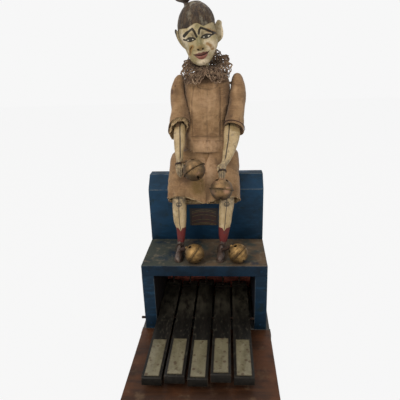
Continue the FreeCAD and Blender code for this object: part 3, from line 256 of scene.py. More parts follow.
# Oil paint on pine, brushed: a dark blue that is rubbed grey along the edges and dusty where it lies flat,
# with painted shade towards its foot and on the inner walls of the opening, which are partly dark brown
# paint.
case_blue = finish(
    "Brushed blue oil paint, worn",
    "#14344e",
    layers=[
        ("#0d2536", 0.7, [grain(30, 0.42, 0.62)], 0.5),
        # Painted shade: the case darkens towards its foot.
        ("#081825", 0.65, [beyond("Z", 130, 85)], 0.55),
        ("#1a3d58", 0.5, [grain(5, 0.5, 0.7, stretch=(0.25, 1, 1))], 0.55),
        ("#14211f", 0.6, [grain(11, 0.56, 0.7, shift=9)], 0.6),
        ("#626b70", 0.8, [
            edges(1.2, 0.995, 0.95), grain(7, 0.32, 0.55), beyond("Z", JOINT + 2, JOINT + 5),
        ], 0.8),
        ("#4d575d", 0.8, [
            edges(1.2, 0.995, 0.95), grain(7, 0.32, 0.55), beyond("Z", JOINT - 2, JOINT - 5),
        ], 0.8),
        ("#393d3e", 0.5, [LEVEL, grain(14, 0.35, 0.55)], 0.9),
        # The inner walls of the opening under the shelf: dark brown, partly the interior's own paint and
        # partly painted shade.
        ("#140f0d", 0.95, [facing("X", 0.6, 0.9), beyond("X", -30, -40), beyond("Z", 106, 100)], 0.8),
        ("#140f0d", 0.8, [facing("X", -0.6, -0.9), beyond("X", 30, 40), beyond("Z", 106, 100)], 0.8),
    ],
    bumps=[grit(0.12, 3, stretch=(0.2, 1, 1)), (0.15, [grain(18, 0.35, 0.65)])],
    roughness=0.5,
    Specular_IOR_Level=0.14,
)

nail_blue = finish("Painted nail heads", "#112a40", roughness=0.6, Specular_IOR_Level=0.14)

# The shelf is trodden through to grey-brown dust, with blue left in its corners.
shelf_dust = finish(
    "Blue oil paint under dust",
    "#0b2133",
    layers=[
        ("#07131e", 0.7, [grain(26, 0.42, 0.62)], 0.5),
        ("#41453f", 0.8, [LEVEL, grain(22, 0.3, 0.52, shift=3)], 0.95),
        ("#5f4f3f", 0.85, [LEVEL, beyond("X", -50, 15), grain(20, 0.34, 0.55, shift=8)], 0.95),
        ("#736a5b", 0.45, [LEVEL, grain(7, 0.52, 0.68)], 0.95),
        ("#5d6468", 0.8, [
            edges(1.4, 0.995, 0.95), grain(6, 0.32, 0.55), beyond("Z", JOINT + 3, JOINT + 6),
        ], 0.8),
    ],
    bumps=[grit(0.15, 6)],
    roughness=0.6,
    Specular_IOR_Level=0.14,
)

# Shellac over stained pine, dull and scuffed down to the wood.
base_varnish = finish(
    "Dull shellac on stained pine",
    "#402819",
    layers=[
        ("#281810", 0.8, [grain(9, 0.42, 0.6, stretch=(0.12, 1, 1))], 0.5),
        ("#57341f", 0.6, [grain(40, 0.45, 0.65, shift=1)], 0.5),
        ("#63513f", 0.5, [grain(16, 0.55, 0.7, shift=4)], 0.7),
        ("#120d0b", 0.9, [edges(1.6, 0.99, 0.9)], 0.6),
    ],
    bumps=[grit(0.1, 4, stretch=(0.1, 1, 1))],
    roughness=0.55,
    Specular_IOR_Level=0.18,
)

# The same board beside the case, grey with old dust.
plinth_grey = finish(
    "Grey dust on stained pine",
    "#4f4e4d",
    layers=[
        ("#353331", 0.7, [grain(14, 0.42, 0.6, stretch=(0.3, 1, 1))], 0.8),
        ("#2a2624", 0.9, [edges(1.6, 0.99, 0.9)], 0.7),
    ],
    bumps=[grit(0.1, 4, stretch=(0.1, 1, 1))],
    roughness=0.8,
)

# Black water stain on beech, worn brown at the edges and dusty towards the rear.
key_black = finish(
    "Black stain on beech, worn",
    "#0d0c0a",
    layers=[
        ("#1a1815", 0.8, [grain(6, 0.4, 0.62, stretch=(1, 0.12, 1))], 0.5),
        ("#3a2f25", 0.8, [edges(1.2, 0.99, 0.92), grain(6, 0.42, 0.6)], 0.6),
        ("#454238", 0.85, [
            facing("Z", 0.6, 0.9), beyond("Y", -12, 40), grain(7, 0.32, 0.6, stretch=(1, 0.5, 1)),
        ], 0.9),
        ("#39372f", 0.7, [
            facing("Z", 0.6, 0.9), grain(2.2, 0.55, 0.66, stretch=(1, 0.35, 1), shift=6),
        ], 0.9),
    ],
    bumps=[grit(0.1, 3, stretch=(1, 0.1, 1))],
    roughness=0.5,
    Specular_IOR_Level=0.16,
)

# Celluloid sheet gone grey-yellow, with rust spots from its pins and dirt at its edges.
plate_ivory = finish(
    "Aged celluloid sheet",
    "#67624d",
    layers=[
        ("#544f3b", 0.7, [grain(12, 0.42, 0.62)], 0.45),
        ("#75715d", 0.6, [grain(5, 0.5, 0.7, shift=2)], 0.45),
        ("#3c2b1a", 0.85, [cells(6, 0.36, 0.2, shift=5), grain(11, 0.42, 0.52, shift=1)], 0.7),
        ("#4a4230", 0.6, [grain(3, 0.58, 0.7, shift=7)], 0.6),
        ("#3a3022", 0.8, [edges(1.6, 0.99, 0.92)], 0.7),
    ],
    bumps=[grit(0.08, 3)],
    roughness=0.42,
)

# Drawn steel wire with brown oxide.
steel_wire = finish(
    "Drawn steel, brown oxide",
    "#6a6058",
    layers=[("#3b2a20", 0.8, [grain(3, 0.4, 0.6)], 0.6)],
    roughness=0.4,
    Metallic=0.9,
)

iron_rust = finish(
    "Rusted iron",
    "#2b2320",
    layers=[("#4b3021", 0.7, [grain(2, 0.45, 0.6)], 0.9)],
    bumps=[grit(0.15, 1.5)],
    roughness=0.75,
    Metallic=0.4,
)

# Wool felt: no gloss, fibres as fine noise.
red_felt = finish(
    "Red wool felt",
    "#b86554",
    layers=[("#73372d", 0.8, [grain(14, 0.4, 0.62)], 1), ("#c06a58", 0.5, [grain(1.2, 0.5, 0.7)], 1)],
    bumps=[grit(0.25, 1)],
    roughness=1,
)

bare_pine = finish(
    "Bare pine, darkened",
    "#6b5238",
    layers=[("#48341f", 0.8, [grain(6, 0.42, 0.6, stretch=(0.15, 1, 1))], 0.8)],
    bumps=[grit(0.1, 3, stretch=(0.1, 1, 1))],
    roughness=0.8,
)


def tarnished(name, base, brown, rubbed, metallic):
    """Stamped brass with a brown skin, brighter in patches that are partly rubbed and partly painted
    highlight, black along its rim and holes, and with painted shade below and on both flanks.
    """
    return finish(
        name,
        base,
        layers=[
            (brown, 0.85, [grain(7, 0.4, 0.62)], 0.62),
            # Brighter patches: partly rubbed brass, partly painted highlight.
            (rubbed, 0.6, [grain(11, 0.52, 0.7, shift=6)], 0.45),
            # Painted shade: darker on the underside and on both flanks.
            ("#1c140c", 0.75, [facing("Z", 0.1, -0.85)], 0.6),
            ("#241b12", 0.6, [facing("X", -0.3, -0.95)], 0.6),
            ("#241b12", 0.6, [facing("X", 0.5, 0.98)], 0.6),
            ("#1c140c", 0.7, [grain(1.8, 0.6, 0.7, shift=2)], 0.75),
            ("#15100a", 0.9, [edges(1.1, 0.985, 0.9)], 0.7),
        ],
        bumps=[grit(0.1, 2)],
        roughness=0.46,
        Metallic=metallic,
    )


# The hand bells have a dull olive skin; the foot bells are still golden.
bell_brass = tarnished("Stamped brass, olive tarnish", "#7d6240", "#52422b", "#a8826a", 0.5)
bell_bright = tarnished("Stamped brass, gold-brown", "#8a6d40", "#574224", "#bd9a63", 0.6)

for node in ("side_board_left", "side_board_right", "front_panel", "slope_board", "seat_cap", "back_board"):
    worn_edges(node, case_blue)
worn_edges("shelf_board", shelf_dust)
worn_edges("apron_board", base_varnish, 0.8)
worn_edges("plinth_board", plinth_grey, 0.8)
for number in range(1, 6):
    worn_edges(f"key_{number}", key_black, 0.5)
    worn_edges(f"key_plate_{number}", plate_ivory, 0.2)
    dress(steel_wire, f"push_rod_{number}")
dress(iron_rust, "joint_straps", "key_axle")
dress(nail_blue, "case_nails")
dress(steel_wire, "neck_pin", "nod_lever")
dress(red_felt, "felt_lining", "rest_pads")
dress(bare_pine, "rod_guide", "rest_rail", "torso_block")
for name in SIDES:
    dress(steel_wire, f"hip_crank_{name}")
    dress(bare_pine, f"upper_arm_{name}", f"thigh_{name}")
    dress(bell_brass, f"hand_bell_{name}")
    dress(bell_bright, f"foot_bell_{name}")

# ---- carved and sewn pieces: places, skins and paint ----------------------------------------------

# The pieces below are laid out in millimetres from the case's front face and the top of the base:
# X to the onlooker's right, Y to the rear, Z up.
START = np.array([0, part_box("side_board_left")[0][1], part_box("apron_board")[1][2]]) / MM
FULL_TURN = 2 * math.pi
RING = np.linspace(0, FULL_TURN, 73)[:-1]


def joint_at(name):
    """Where a joint is among the pieces."""
    return np.array(JOINT_AT[name]) / MM - START


def clamp(values):
    """Values held between 0 and 1."""
    return np.clip(values, 0, 1)


def joined(*axes):
    """Places from their coordinates."""
    return np.stack(axes, axis=-1)


def curve(knots, at):
    """A smooth curve through (place, value) knots, level past both ends."""
    x, y = np.array(knots, float).T
    slope = np.gradient(y, x)
    i = np.clip(np.searchsorted(x, at) - 1, 0, len(x) - 2)
    gap = x[i + 1] - x[i]
    t = clamp((at - x[i]) / gap)
    ends = y[i] * (1 + 2 * t) * (1 - t) ** 2 + y[i + 1] * t * t * (3 - 2 * t)
    return ends + gap * t * (1 - t) * (slope[i] * (1 - t) - slope[i + 1] * t)


def bump(at, middle, reach):
    """A soft hump of height 1 about a middle."""
    return np.exp(-((at - middle) / reach) ** 2)


def near(spots, line, width, soft=0.3):
    """1 on a painted or stitched line through some points, fading to 0 past its edge."""
    nearest = np.full(len(spots), 1e9)
    for start, end in zip(np.array(line[:-1], float), np.array(line[1:], float)):
        along = end - start
        t = clamp((spots - start) @ along / (along @ along))
        nearest = np.minimum(nearest, np.linalg.norm(spots - start - t[:, None] * along, axis=1))
    return clamp((width / 2 + soft - nearest) / soft)


def within(spots, outline):
    """1 inside a closed outline, 0 outside."""
    odd = np.zeros(len(spots), bool)
    x, y = spots.T
    for (x0, y0), (x1, y1) in zip(outline, outline[1:] + outline[:1]):
        crossed = (y0 > y) != (y1 > y)
        odd ^= crossed & (x < x0 + (x1 - x0) * (y - y0) / (y1 - y0 + 1e-9))
    return odd.astype(float)


def mottle(spots, size, seed=0, stretch=(1, 1, 1)):
    """Smooth noise from -1 to 1."""
    scaled = spots * np.array(stretch) / size + seed * 7.3
    return np.array([noise.noise(Vector(spot)) for spot in scaled])


def ridged(spots, size, seed, stretch):
    """Noise from -1 to 1 that rises to sharp ridges."""
    return 1 - 2 * np.abs(mottle(spots, size, seed, stretch))


def outward(spots, axis):
    """Directions of length 1 from an axis to the places about it."""
    out = spots - axis
    return out / np.maximum(np.linalg.norm(out, axis=1), 1e-6)[:, None]


def rounded(share, power):
    """1 along a piece and 0 at both its ends: the higher the power, the blunter."""
    return np.sqrt(clamp(1 - (2 * share - 1) ** power))


def places(obj):
    """Where the points of a mesh are."""
    flat = np.empty(3 * len(obj.data.vertices))
    obj.data.vertices.foreach_get("co", flat)
    return flat.reshape(-1, 3) / MM - START


def put(obj, spots):
    """Moves the points of a mesh."""
    obj.data.vertices.foreach_set("co", ((spots + START) * MM).ravel())
    obj.data.update()


def paint(obj, **values):
    """Stores one value per point, which the finish reads by its name."""
    for name, value in values.items():
        made = obj.data.attributes.new(name, "FLOAT", "POINT")
        made.data.foreach_set("value", clamp(value).astype(np.float32))


def skin(around, along, shape, wall=0):
    """A surface closed round: shape(turn, share) gives its places, from its first edge to its last."""
    bpy.ops.object.select_all(action="DESELECT")
    bpy.ops.mesh.primitive_grid_add(x_subdivisions=around, y_subdivisions=along, size=1)
    obj = bpy.context.object
    flat = (places(obj) + START) * MM + 0.5
    put(obj, shape(flat[:, 0] * FULL_TURN, flat[:, 1]))
    only(obj)
    bpy.ops.object.mode_set(mode="EDIT")
    bpy.ops.mesh.select_all(action="SELECT")
    bpy.ops.mesh.remove_doubles(threshold=0.00002)
    bpy.ops.mesh.normals_make_consistent(inside=False)
    bpy.ops.object.mode_set(mode="OBJECT")
    if wall:
        modify(obj, "SOLIDIFY", thickness=wall * MM, offset=-1, use_even_offset=False)
    bpy.ops.object.shade_smooth()
    return obj


def threads(routes, radius, closed=False):
    """Round threads or wires through lists of places, as one mesh."""
    lines = bpy.data.curves.new("threads", "CURVE")
    lines.dimensions = "3D"
    lines.bevel_depth = radius * MM
    lines.bevel_resolution = 0
    lines.use_fill_caps = True
    for route in routes:
        spline = lines.splines.new("POLY")
        spline.points.add(len(route) - 1)
        spots = np.c_[(np.array(route) + START) * MM, np.ones(len(route))]
        spline.points.foreach_set("co", spots.ravel())
        spline.use_cyclic_u = closed
    obj = bpy.data.objects.new("threads", lines)
    bpy.context.scene.collection.objects.link(obj)
    only(obj)
    bpy.ops.object.convert(target="MESH")
    bpy.ops.object.shade_smooth()
    return bpy.context.object


def squared(angle, power):
    """Sine and cosine of a turn about a section whose corners are fuller than a circle's."""
    s, c = np.sin(angle), np.cos(angle)
    return np.sign(s) * np.abs(s) ** power, np.sign(c) * np.abs(c) ** power


# ---- head -----------------------------------------------------------------------------------------

NECK = joint_at("head_nod")
HEAD_TILT = math.radians(-10)
FACE_TURN = math.radians(5)
CHIN_RISE = 19.5
HEAD_TALL = 70
HEAD_AHEAD = 9.5

# The head's outlines and the painted lines of its face, by their height above the chin.
HALF_WIDTH = [
    (0, 3.4), (2, 6.9), (5, 10.4), (10, 14), (16, 17.2), (24, 19.7), (32, 20.6),
    (40, 20.9), (48, 20.7), (54, 19), (60, 15.7), (66, 9.8), (69, 4.6), (70, 0),
]
HALF_DEPTH = [
    (0, 3.6), (2, 7.6), (5, 10.8), (10, 14.6), (16, 17.8), (24, 20.4), (32, 22),
    (40, 22.9), (48, 22.6), (54, 20.8), (60, 17.2), (66, 10.8), (69, 5), (70, 0),
]
MIDDLE = [(0, -8.8), (4, -7.4), (10, -5.4), (21, -2.2), (35, 0), (47, 1), (57, 1.5), (70, 1.5)]
LEAN = [(0, 0), (36, 0), (56, 1.8), (70, 2.2)]


def head_places(side, ahead, rise):
    """Places on the turned and tilted head: off its middle plane, behind its axis, above its chin."""
    turned_side = side * math.cos(FACE_TURN) - ahead * math.sin(FACE_TURN)
    turned_ahead = side * math.sin(FACE_TURN) + ahead * math.cos(FACE_TURN)
    high = rise + CHIN_RISE
    x = turned_side * math.cos(HEAD_TILT) + high * math.sin(HEAD_TILT)
    z = -turned_side * math.sin(HEAD_TILT) + high * math.cos(HEAD_TILT)
    return joined(x, turned_ahead - HEAD_AHEAD, z) + NECK


BROWS = {
    "left": [(-16.2, 34.6), (-11, 37.2), (-5.3, 39.7), (-3.2, 36.5), (-1.6, 30.8)],
    "right": [(1.2, 33.4), (2.4, 37.2), (4.2, 38.9), (10.1, 36), (16.2, 32.4), (20, 31)],
}
MOUTH = [(-8.3, 13.3), (-4.2, 11.6), (0, 11), (4.2, 11.6), (8.3, 13.3)]
LIPS = [
    (-8.8, 13.6), (-5.2, 13.8), (-2.4, 14.5), (0, 13.7), (2.4, 14.5), (5.2, 13.9),
    (8.8, 13.6), (6, 9.8), (3.2, 7.4), (0, 6.6), (-3.2, 7.4), (-6, 9.8),
]
LOWER_LIP = [(-6.6, 11.8), (0, 10.4), (6.6, 11.8), (5.4, 9), (3, 7.2), (0, 6.6), (-3, 7.2), (-5.4, 9)]
HAIRLINE = [
    (-24, 41), (-19.5, 43), (-11, 41.3), (-6, 42.8), (-3, 44.2), (0.6, 44.3),
    (4, 42), (7.4, 39.8), (11.2, 41), (17.4, 42.4), (24, 41),
]
NOSE_OUT = [(14.5, 0), (16.6, 0.5), (18, 3.2), (19.6, 5.4), (21.5, 5.2), (26, 3.3), (31, 1.8), (37, 0)]
NOSE_HALF = [(15, 3), (19, 3.3), (21, 3), (25, 2.2), (33, 1.8)]
EYE_SIDE = 8.8
EYE_RISE = 29.2
EYE_LID = [(3.6, 28.9), (5.6, 30.4), (8.8, 31.3), (12, 30.9), (14.6, 30), (17.4, 31.2)]
EYE_UNDER = [(3.6, 28.9), (6, 27.9), (9, 27.5), (12, 28.2), (14.6, 30)]
EYE_WHITE = EYE_LID[:-1] + EYE_UNDER[-2:0:-1]
CHEEK_FOLD = [(8.7, 21.8), (11.4, 19.4), (12.9, 15.6)]


# The forms of the face: how far each stands out, its middle and reach to the side, its middle and
# reach in height, and how much its ends curl up.
FACE_FORMS = {
    "nostrils": (1.7, 3.3, 1.5, 18.9, 1.7, 0),
    "brow ridges": (0.9, 8, 6, 36, 3.2, 0),
    "eye sockets": (-1.9, EYE_SIDE, 5.6, EYE_RISE + 0.6, 3.8, 0),
    "cheeks": (1.5, 11.5, 4.6, 20.5, 4.8, 0),
    "muzzle": (0.9, 0, 7, 11, 5, 0),
    "upper lip": (0.9, 0, 5.6, 12.4, 1.1, 0.028),
    "lower lip": (1.2, 0, 4.8, 8.9, 1.4, 0.028),
    "chin": (1.2, 0, 4.4, 3, 2.4, 0),
}
# Patches of colour on the face: ochre that is partly painted shade, moss-green paint, and pale patches that
# are painted highlights. Each: how strong, then middle and reach to the side and in height.
PATCHES = {
    "ochre": [(0.5, 0, 6, 19, 4)],
    "moss": [(1, 0, 3.4, 25, 9), (0.8, -11, 4, 20, 4), (0.6, 0, 4, 41, 4)],
    "pale": [(1, 12, 5, 19, 6), (1, -17, 4, 33, 5), (1, 0, 8, 3.5, 4), (0.8, 14, 4, 33, 3)],
}


def patches(name, side, rise):
    """How strongly the face is painted with one of the patch colours."""
    return sum(
        strong * bump(side, off, wide) * bump(rise, at, tall) for strong, off, wide, at, tall in PATCHES[name]
    )


def cheek_shift(rise):
    """How far the sides of the face sit off its features: they are painted to the onlooker's left."""
    return 2.8 * bump(rise, 22, 11)


def mirrored(line, side):
    """A line of the right half of the face, or its mirror image."""
    return [(x * side, z) for x, z in line]


def carve_head():
    """The head: an egg with the face cut into its front and strands of hair over its crown."""
    bpy.ops.object.select_all(action="DESELECT")
    bpy.ops.mesh.primitive_uv_sphere_add(segments=230, ring_count=150, radius=1)
    obj = bpy.context.object
    ball = (places(obj) + START) * MM
    polar = np.arccos(np.clip(-ball[:, 2], -1, 1))
    turn = np.arctan2(ball[:, 0], -ball[:, 1])
    turn = turn - 0.42 * np.sin(turn)
    rise = HEAD_TALL * (0.55 * (1 - np.cos(polar)) / 2 + 0.45 * polar / math.pi)
    out_side, out_ahead = squared(turn, 0.94)
    side = curve(HALF_WIDTH, rise) * out_side
    ahead = curve(MIDDLE, rise) - curve(HALF_DEPTH, rise) * out_ahead
    pole = (polar < 0.001) | (polar > math.pi - 0.001)
    side[pole] = 0
    face = clamp(np.cos(turn) * 3)
    flat = joined(side, rise)
    beside = np.abs(side)

    push = curve(NOSE_OUT, rise) * np.exp(-(side / curve(NOSE_HALF, rise)) ** 2)
    for out, off, wide, at, tall, curl in FACE_FORMS.values():
        push += out * bump(beside, off, wide) * bump(rise - curl * side ** 2, at, tall)
    ball_out = 1 - ((beside - EYE_SIDE) / 5.2) ** 2 - ((rise - EYE_RISE) / 2.9) ** 2
    push += 1.6 * np.sqrt(clamp(ball_out))
    push -= 0.7 * near(flat, MOUTH, 0.3, 0.8)
    for hand in SIDES.values():
        push -= 0.6 * near(flat, mirrored(CHEEK_FOLD, hand), 0.3, 1.4)
        push += 0.35 * near(flat, mirrored(EYE_LID, hand), 0.3, 0.8)
    ahead = ahead - push * face

    hair_edge = np.interp(side, *np.array(HAIRLINE).T)
    behind = clamp(0.35 - np.cos(turn)) * 30
    hair = clamp((rise - hair_edge + behind) / 0.5)
    strands = 0.16 * np.sin(turn * 46 + 3 * np.sin(rise * 0.21)) + 0.2 * np.sin(turn * 17 + rise * 0.12)
    lift = 1 + hair * (0.6 + strands * np.sin(polar)) / np.maximum(curve(HALF_WIDTH, rise), 6)
    side = side * lift
    ahead = (ahead - curve(MIDDLE, rise)) * lift + curve(MIDDLE, rise)
    round_off = cheek_shift(rise) * clamp((beside - 11) / 6)
    put(obj, head_places(side + round_off + curve(LEAN, rise), ahead, rise))
    only(obj)
    bpy.ops.object.shade_smooth()

    in_front = (np.cos(turn) > 0.05).astype(float)
    strokes = [
        near(flat, [(-15.6, 34.8), (-11.4, 37)], 2.9, 0.6),
        # Painted shade: a soft dark line under the nose.
        0.5 * near(flat, [(-3, 16.6), (0, 16.2), (3, 16.6)], 0.6, 0.7),
    ]
    for name, hand in SIDES.items():
        strokes += [
            near(flat, BROWS[name], 1.9, 0.4),
            near(flat, mirrored(EYE_LID, hand), 1.6, 0.35),
            0.85 * near(flat, mirrored(EYE_UNDER, hand), 0.9, 0.4),
            near(flat, [(hand * 8.4, 29.6), (hand * 9.2, 29.4)], 2.7, 0.5),
            (0.6 - 0.3 * hand) * near(flat, mirrored(CHEEK_FOLD, hand), 0.5, 0.5),
            # Painted shade in the nostrils.
            0.8 * near(flat, [(hand * 2.2, 17.4), (hand * 3.2, 17.8)], 1.0, 0.5),
        ]
    white = sum(within(flat, mirrored(EYE_WHITE, hand)) for hand in SIDES.values())
    # Ochre, partly painted shade: soft along the cheek folds, at the outer right brow and under the nose.
    ochre = near(flat, mirrored(CHEEK_FOLD, -1), 1.6, 2.2) + near(flat, mirrored(CHEEK_FOLD, 1), 1.0, 2.0)
    ochre = ochre + near(flat, [(12, 35), (17, 32.4), (20, 31)], 1.5, 2.5)
    shade = bump(beside, 5, 2.5) * bump(rise, 33, 4) * in_front
    paint(
        obj,
        ink=np.max(strokes, axis=0) * in_front,
        lips=within(flat, LIPS) * in_front,
        lower_lip=within(flat, LOWER_LIP) * in_front,
        mouth_line=near(flat, MOUTH, 0.8, 0.4) * in_front,
        eye_white=white * in_front,
        ochre=(ochre + patches("ochre", side, rise)) * in_front,
        moss=patches("moss", side, rise) * in_front,
        pale=patches("pale", side, rise) * in_front,
        hair=hair,
        shade=shade + 0.5 * bump(rise, -1, 2.5) + 0.6 * bump(beside, 20, 3),
    )
    return obj


# Gesso and oil paint on carved lime wood: ivory gone yellow, ochre in the hollows that is partly painted
# shade, black brush lines; painted shade in the eye sockets, under the nose and chin and at the sides, and
# painted highlights on the cheek, temples, chin and ear rims.
face_paint = finish(
    "Aged ivory oil paint on gesso",
    "#a99a79",
    layers=[
        ("#857b56", 0.65, [grain(12, 0.42, 0.62)], 0.45),
        ("#cbc2ac", 0.6, [grain(9, 0.5, 0.66, shift=3)], 0.4),
        # Painted highlights on the cheek, temples and chin, and along the ears' rims.
        ("#d9cbb2", 0.85, [painted("pale", 0, 0.9), grain(6, 0.25, 0.5)], 0.4),
        ("#6b6a48", 0.7, [painted("moss", 0, 0.9), grain(4, 0.25, 0.52)], 0.5),
        # Ochre, partly painted shade in the hollows.
        ("#85602a", 0.85, [painted("ochre", 0, 0.9), grain(5, 0.25, 0.5)], 0.5),
        ("#6f6247", 0.6, [grain(3.4, 0.54, 0.66, shift=2)], 0.6),
        ("#4c4331", 0.6, [painted("shade", 0.1, 1)], 0.6),
        ("#cfcab8", 0.9, [painted("eye_white", 0.3, 0.8)], 0.3),
        ("#572f28", 0.95, [painted("lips", 0.3, 0.8)], 0.4),
        ("#85554a", 0.8, [painted("lower_lip", 0.3, 0.8)], 0.4),
        ("#2c1210", 0.9, [painted("mouth_line", 0.2, 0.9)], 0.5),
        ("#17120a", 0.97, [painted("ink", 0.15, 0.75)], 0.4),
        ("#483a2b", 1.0, [HAIR], 0.5),
        ("#241d1a", 0.85, [HAIR, grain(3.2, 0.42, 0.6, stretch=(1, 1, 0.22))], 0.5),
        ("#7d7768", 0.7, [HAIR, grain(8, 0.5, 0.66, stretch=(1, 1, 0.6), shift=5)], 0.45),
    ],
    bumps=[grit(0.1, 2.5), (0.35, [HAIR, grain(2, 0.3, 0.7, stretch=(1, 1, 0.2))])],
    roughness=0.48,
    Specular_IOR_Level=0.2,
)
own(carve_head(), "head_carved", face_paint, "head", ["head"])

# How far each ear stands out at each share of its height, and where its inner edge lies.
EAR_OUTER = [(0, 0), (0.12, 0.45), (0.4, 0.9), (0.75, 1), (0.94, 1), (1, 0.8)]
EAR_INNER = [(0, 0), (0.55, 0), (0.85, 0.25), (1, 0.6)]
EAR_THICK = [(0, 0.2), (0.3, 1.5), (0.8, 1.1), (1, 0)]
EAR_BACK = [(0, -2), (0.4, 0), (1, 2.5)]
EAR_FOOT, EAR_TALL = 21, 24
EAR_SPREAD = {"left": 3.6, "right": 8.6}
EAR_RIM = {"left": 0.9, "right": 0.1}


def carve_ear(side, spread, worn):
    """A long pointed ear: a leaf that stands out from the head, hollowed in front."""
    def leaf(angle, share):
        rise = EAR_FOOT + EAR_TALL * share
        root = curve(HALF_WIDTH, rise) - 1.5
        outer = root + 1.5 + curve(EAR_OUTER, share) * spread
        inner = root + curve(EAR_INNER, share) * (spread + 1.5)
        middle = (outer + inner) / 2
        half = (outer - inner) / 2
        across = np.sin(angle)
        hollow = 0.9 * (1 - across ** 2) * clamp(np.cos(angle)) * np.sin(math.pi * share)
        back = curve(EAR_BACK, share) + 0.12 * spread * across
        ahead = back - curve(EAR_THICK, share) * np.cos(angle) + hollow
        return head_places(side * (middle + half * across) + cheek_shift(rise), ahead, rise)

    ear = skin(32, 30, leaf)
    away = side * (places(ear)[:, 0] - NECK[0])
    rim = clamp((away - away.max() + 3.4) / 2)
    # Painted highlight along the rim, painted shade towards the root, and the dark rim line.
    paint(ear, pale=0.7 * rim, shade=0.6 - 0.6 * rim, ink=worn * rim)
    return ear


for name, side in SIDES.items():
    own(carve_ear(side, EAR_SPREAD[name], EAR_RIM[name]), f"ear_{name}", face_paint, "head")


NECK_RADIUS = [(0, 3.7), (0.35, 3.7), (0.55, 4.2), (0.75, 5.5), (1, 8)]
NECK_DRIFT = [(0, 0), (0.4, 0), (1, -5)]
NECK_AHEAD = [(0, 0), (0.4, 0), (1, -6)]
NECK_TALL, NECK_BELOW = 33, 3.7


def turn_neck():
    """The dowel under the head, flaring into the throat."""
    foot = NECK - np.array([0, 0, NECK_BELOW])

    def post(angle, share):
        radius = curve(NECK_RADIUS, share)
        radius = np.where((share < 0.001) | (share > 0.999), 0, radius)
        x = curve(NECK_DRIFT, share) - radius * np.sin(angle)
        y = curve(NECK_AHEAD, share) - radius * np.cos(angle)
        return foot + joined(x, y, NECK_TALL * share)

    return skin(40, 60, post)


TUFT_RADIUS = [(0, 4.2), (0.12, 3.2), (0.28, 3), (0.5, 7.4), (0.72, 8), (0.9, 6), (1, 0)]
TUFT_LEAN = [(0, -4.5), (1, -9)]
TUFT_FOOT, TUFT_TALL = 66, 13


def topknot_tuft():
    """A carved tuft: a short stalk under a lobed ball."""
    def tuft(angle, share):
        lobes = 1 + 0.16 * np.sin(angle * 5 + 1) * np.sin(math.pi * clamp(share * 1.6 - 0.6))
        radius = np.where(share < 0.001, 0, curve(TUFT_RADIUS, share) * lobes)
        side = curve(TUFT_LEAN, share) - radius * np.sin(angle)
        return head_places(side, 1.5 - radius * 0.85 * np.cos(angle), TUFT_FOOT + TUFT_TALL * share)

    return skin(48, 40, tuft)


hair_paint = finish(
    "Brown oil paint over carved strands",
    "#43362a",
    layers=[
        ("#2a221e", 0.85, [grain(3, 0.42, 0.6, stretch=(1, 1, 0.3))], 0.5),
        ("#75695c", 0.5, [grain(5, 0.52, 0.7, shift=5)], 0.5),
    ],
    bumps=[grit(0.4, 2, stretch=(1, 1, 0.2))],
    roughness=0.5,
)
own(topknot_tuft(), "topknot_carved", hair_paint, "head", ["topknot"])
plain_ivory = finish(
    "Aged ivory oil paint, plain",
    "#b5aa8a",
    layers=[("#7a6a4c", 0.7, [grain(6, 0.4, 0.62)], 0.5)],
    bumps=[grit(0.1, 2.5)],
    roughness=0.45,
)
own(turn_neck(), "neck_dowel", plain_ivory, "head")

# ---- linen clothes --------------------------------------------------------------------------------

FIGURE = (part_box("torso_block")[0][0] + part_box("torso_block")[1][0]) / 2 / MM
SEAT_EDGE, SEAT_RUN, SEAT_TOP = 73, 16.4, 169.4

# Coarse plain-weave linen, unbleached and gone brown: matt, slubby, with painted shade in its folds, seams
# and corners, and painted highlights on the crests of its wrinkles and down its front.
LINEN_LAYERS = [
    ("#6d5238", 0.8, [grain(22, 0.42, 0.62)], 0.95),
    ("#a2825f", 0.65, [grain(13, 0.5, 0.7, shift=4)], 0.95),
    ("#7c5f40", 0.8, [grain(1.6, 0.42, 0.62, stretch=(1, 1, 0.2))], 0.95),
    ("#957756", 0.6, [grain(1.6, 0.45, 0.65, stretch=(0.2, 0.2, 1), shift=2)], 0.95),
    ("#543d2b", 0.6, [grain(7, 0.58, 0.72, shift=8)], 0.95),
    # Painted shade in the creases, seams and corners.
    ("#402c1b", 0.85, [painted("fold", 0.1, 1)], 0.95),
    # Painted highlight on the crests of the wrinkles.
    ("#b39471", 0.7, [painted("crest", 0.2, 1)], 0.95),
    ("#4a3020", 0.85, [painted("stain", 0.2, 0.9)], 0.95),
    # Painted highlight down the front.
    ("#b8997a", 0.8, [painted("sun", 0, 1), grain(5, 0.25, 0.55)], 0.95),
    ("#69532c", 0.9, [painted("rust", 0, 0.8), grain(5, 0.3, 0.5)], 0.95),
]
LINEN_BUMPS = [
    grit(0.12, 0.9, stretch=(1, 1, 0.15), detail=1),
    grit(0.12, 0.9, stretch=(0.15, 0.15, 1), detail=1),
    grit(0.5, 9),
]
linen = finish("Unbleached linen, aged", "#8b7050", LINEN_LAYERS, LINEN_BUMPS, 0.95, Sheen_Weight=0.15)
lining = finish(
    "Cream cotton lining, frayed",
    "#a48d6a",
    layers=[
        ("#7f6848", 0.7, [grain(4, 0.42, 0.6)], 0.95),
        ("#c3b08e", 0.6, [grain(2, 0.5, 0.65, shift=4)], 0.95),
    ],
    bumps=[grit(0.3, 1.2)],
    roughness=0.95,
)

# Twisted cotton cord sewn round the right sleeve's hem.
hem_cord = finish(
    "Red-brown cotton cord, soiled",
    "#3a1a15",
    layers=[("#21110e", 0.7, [grain(2, 0.42, 0.6)], 0.9)],
    bumps=[grit(0.15, 0.7)],
    roughness=0.9,
)


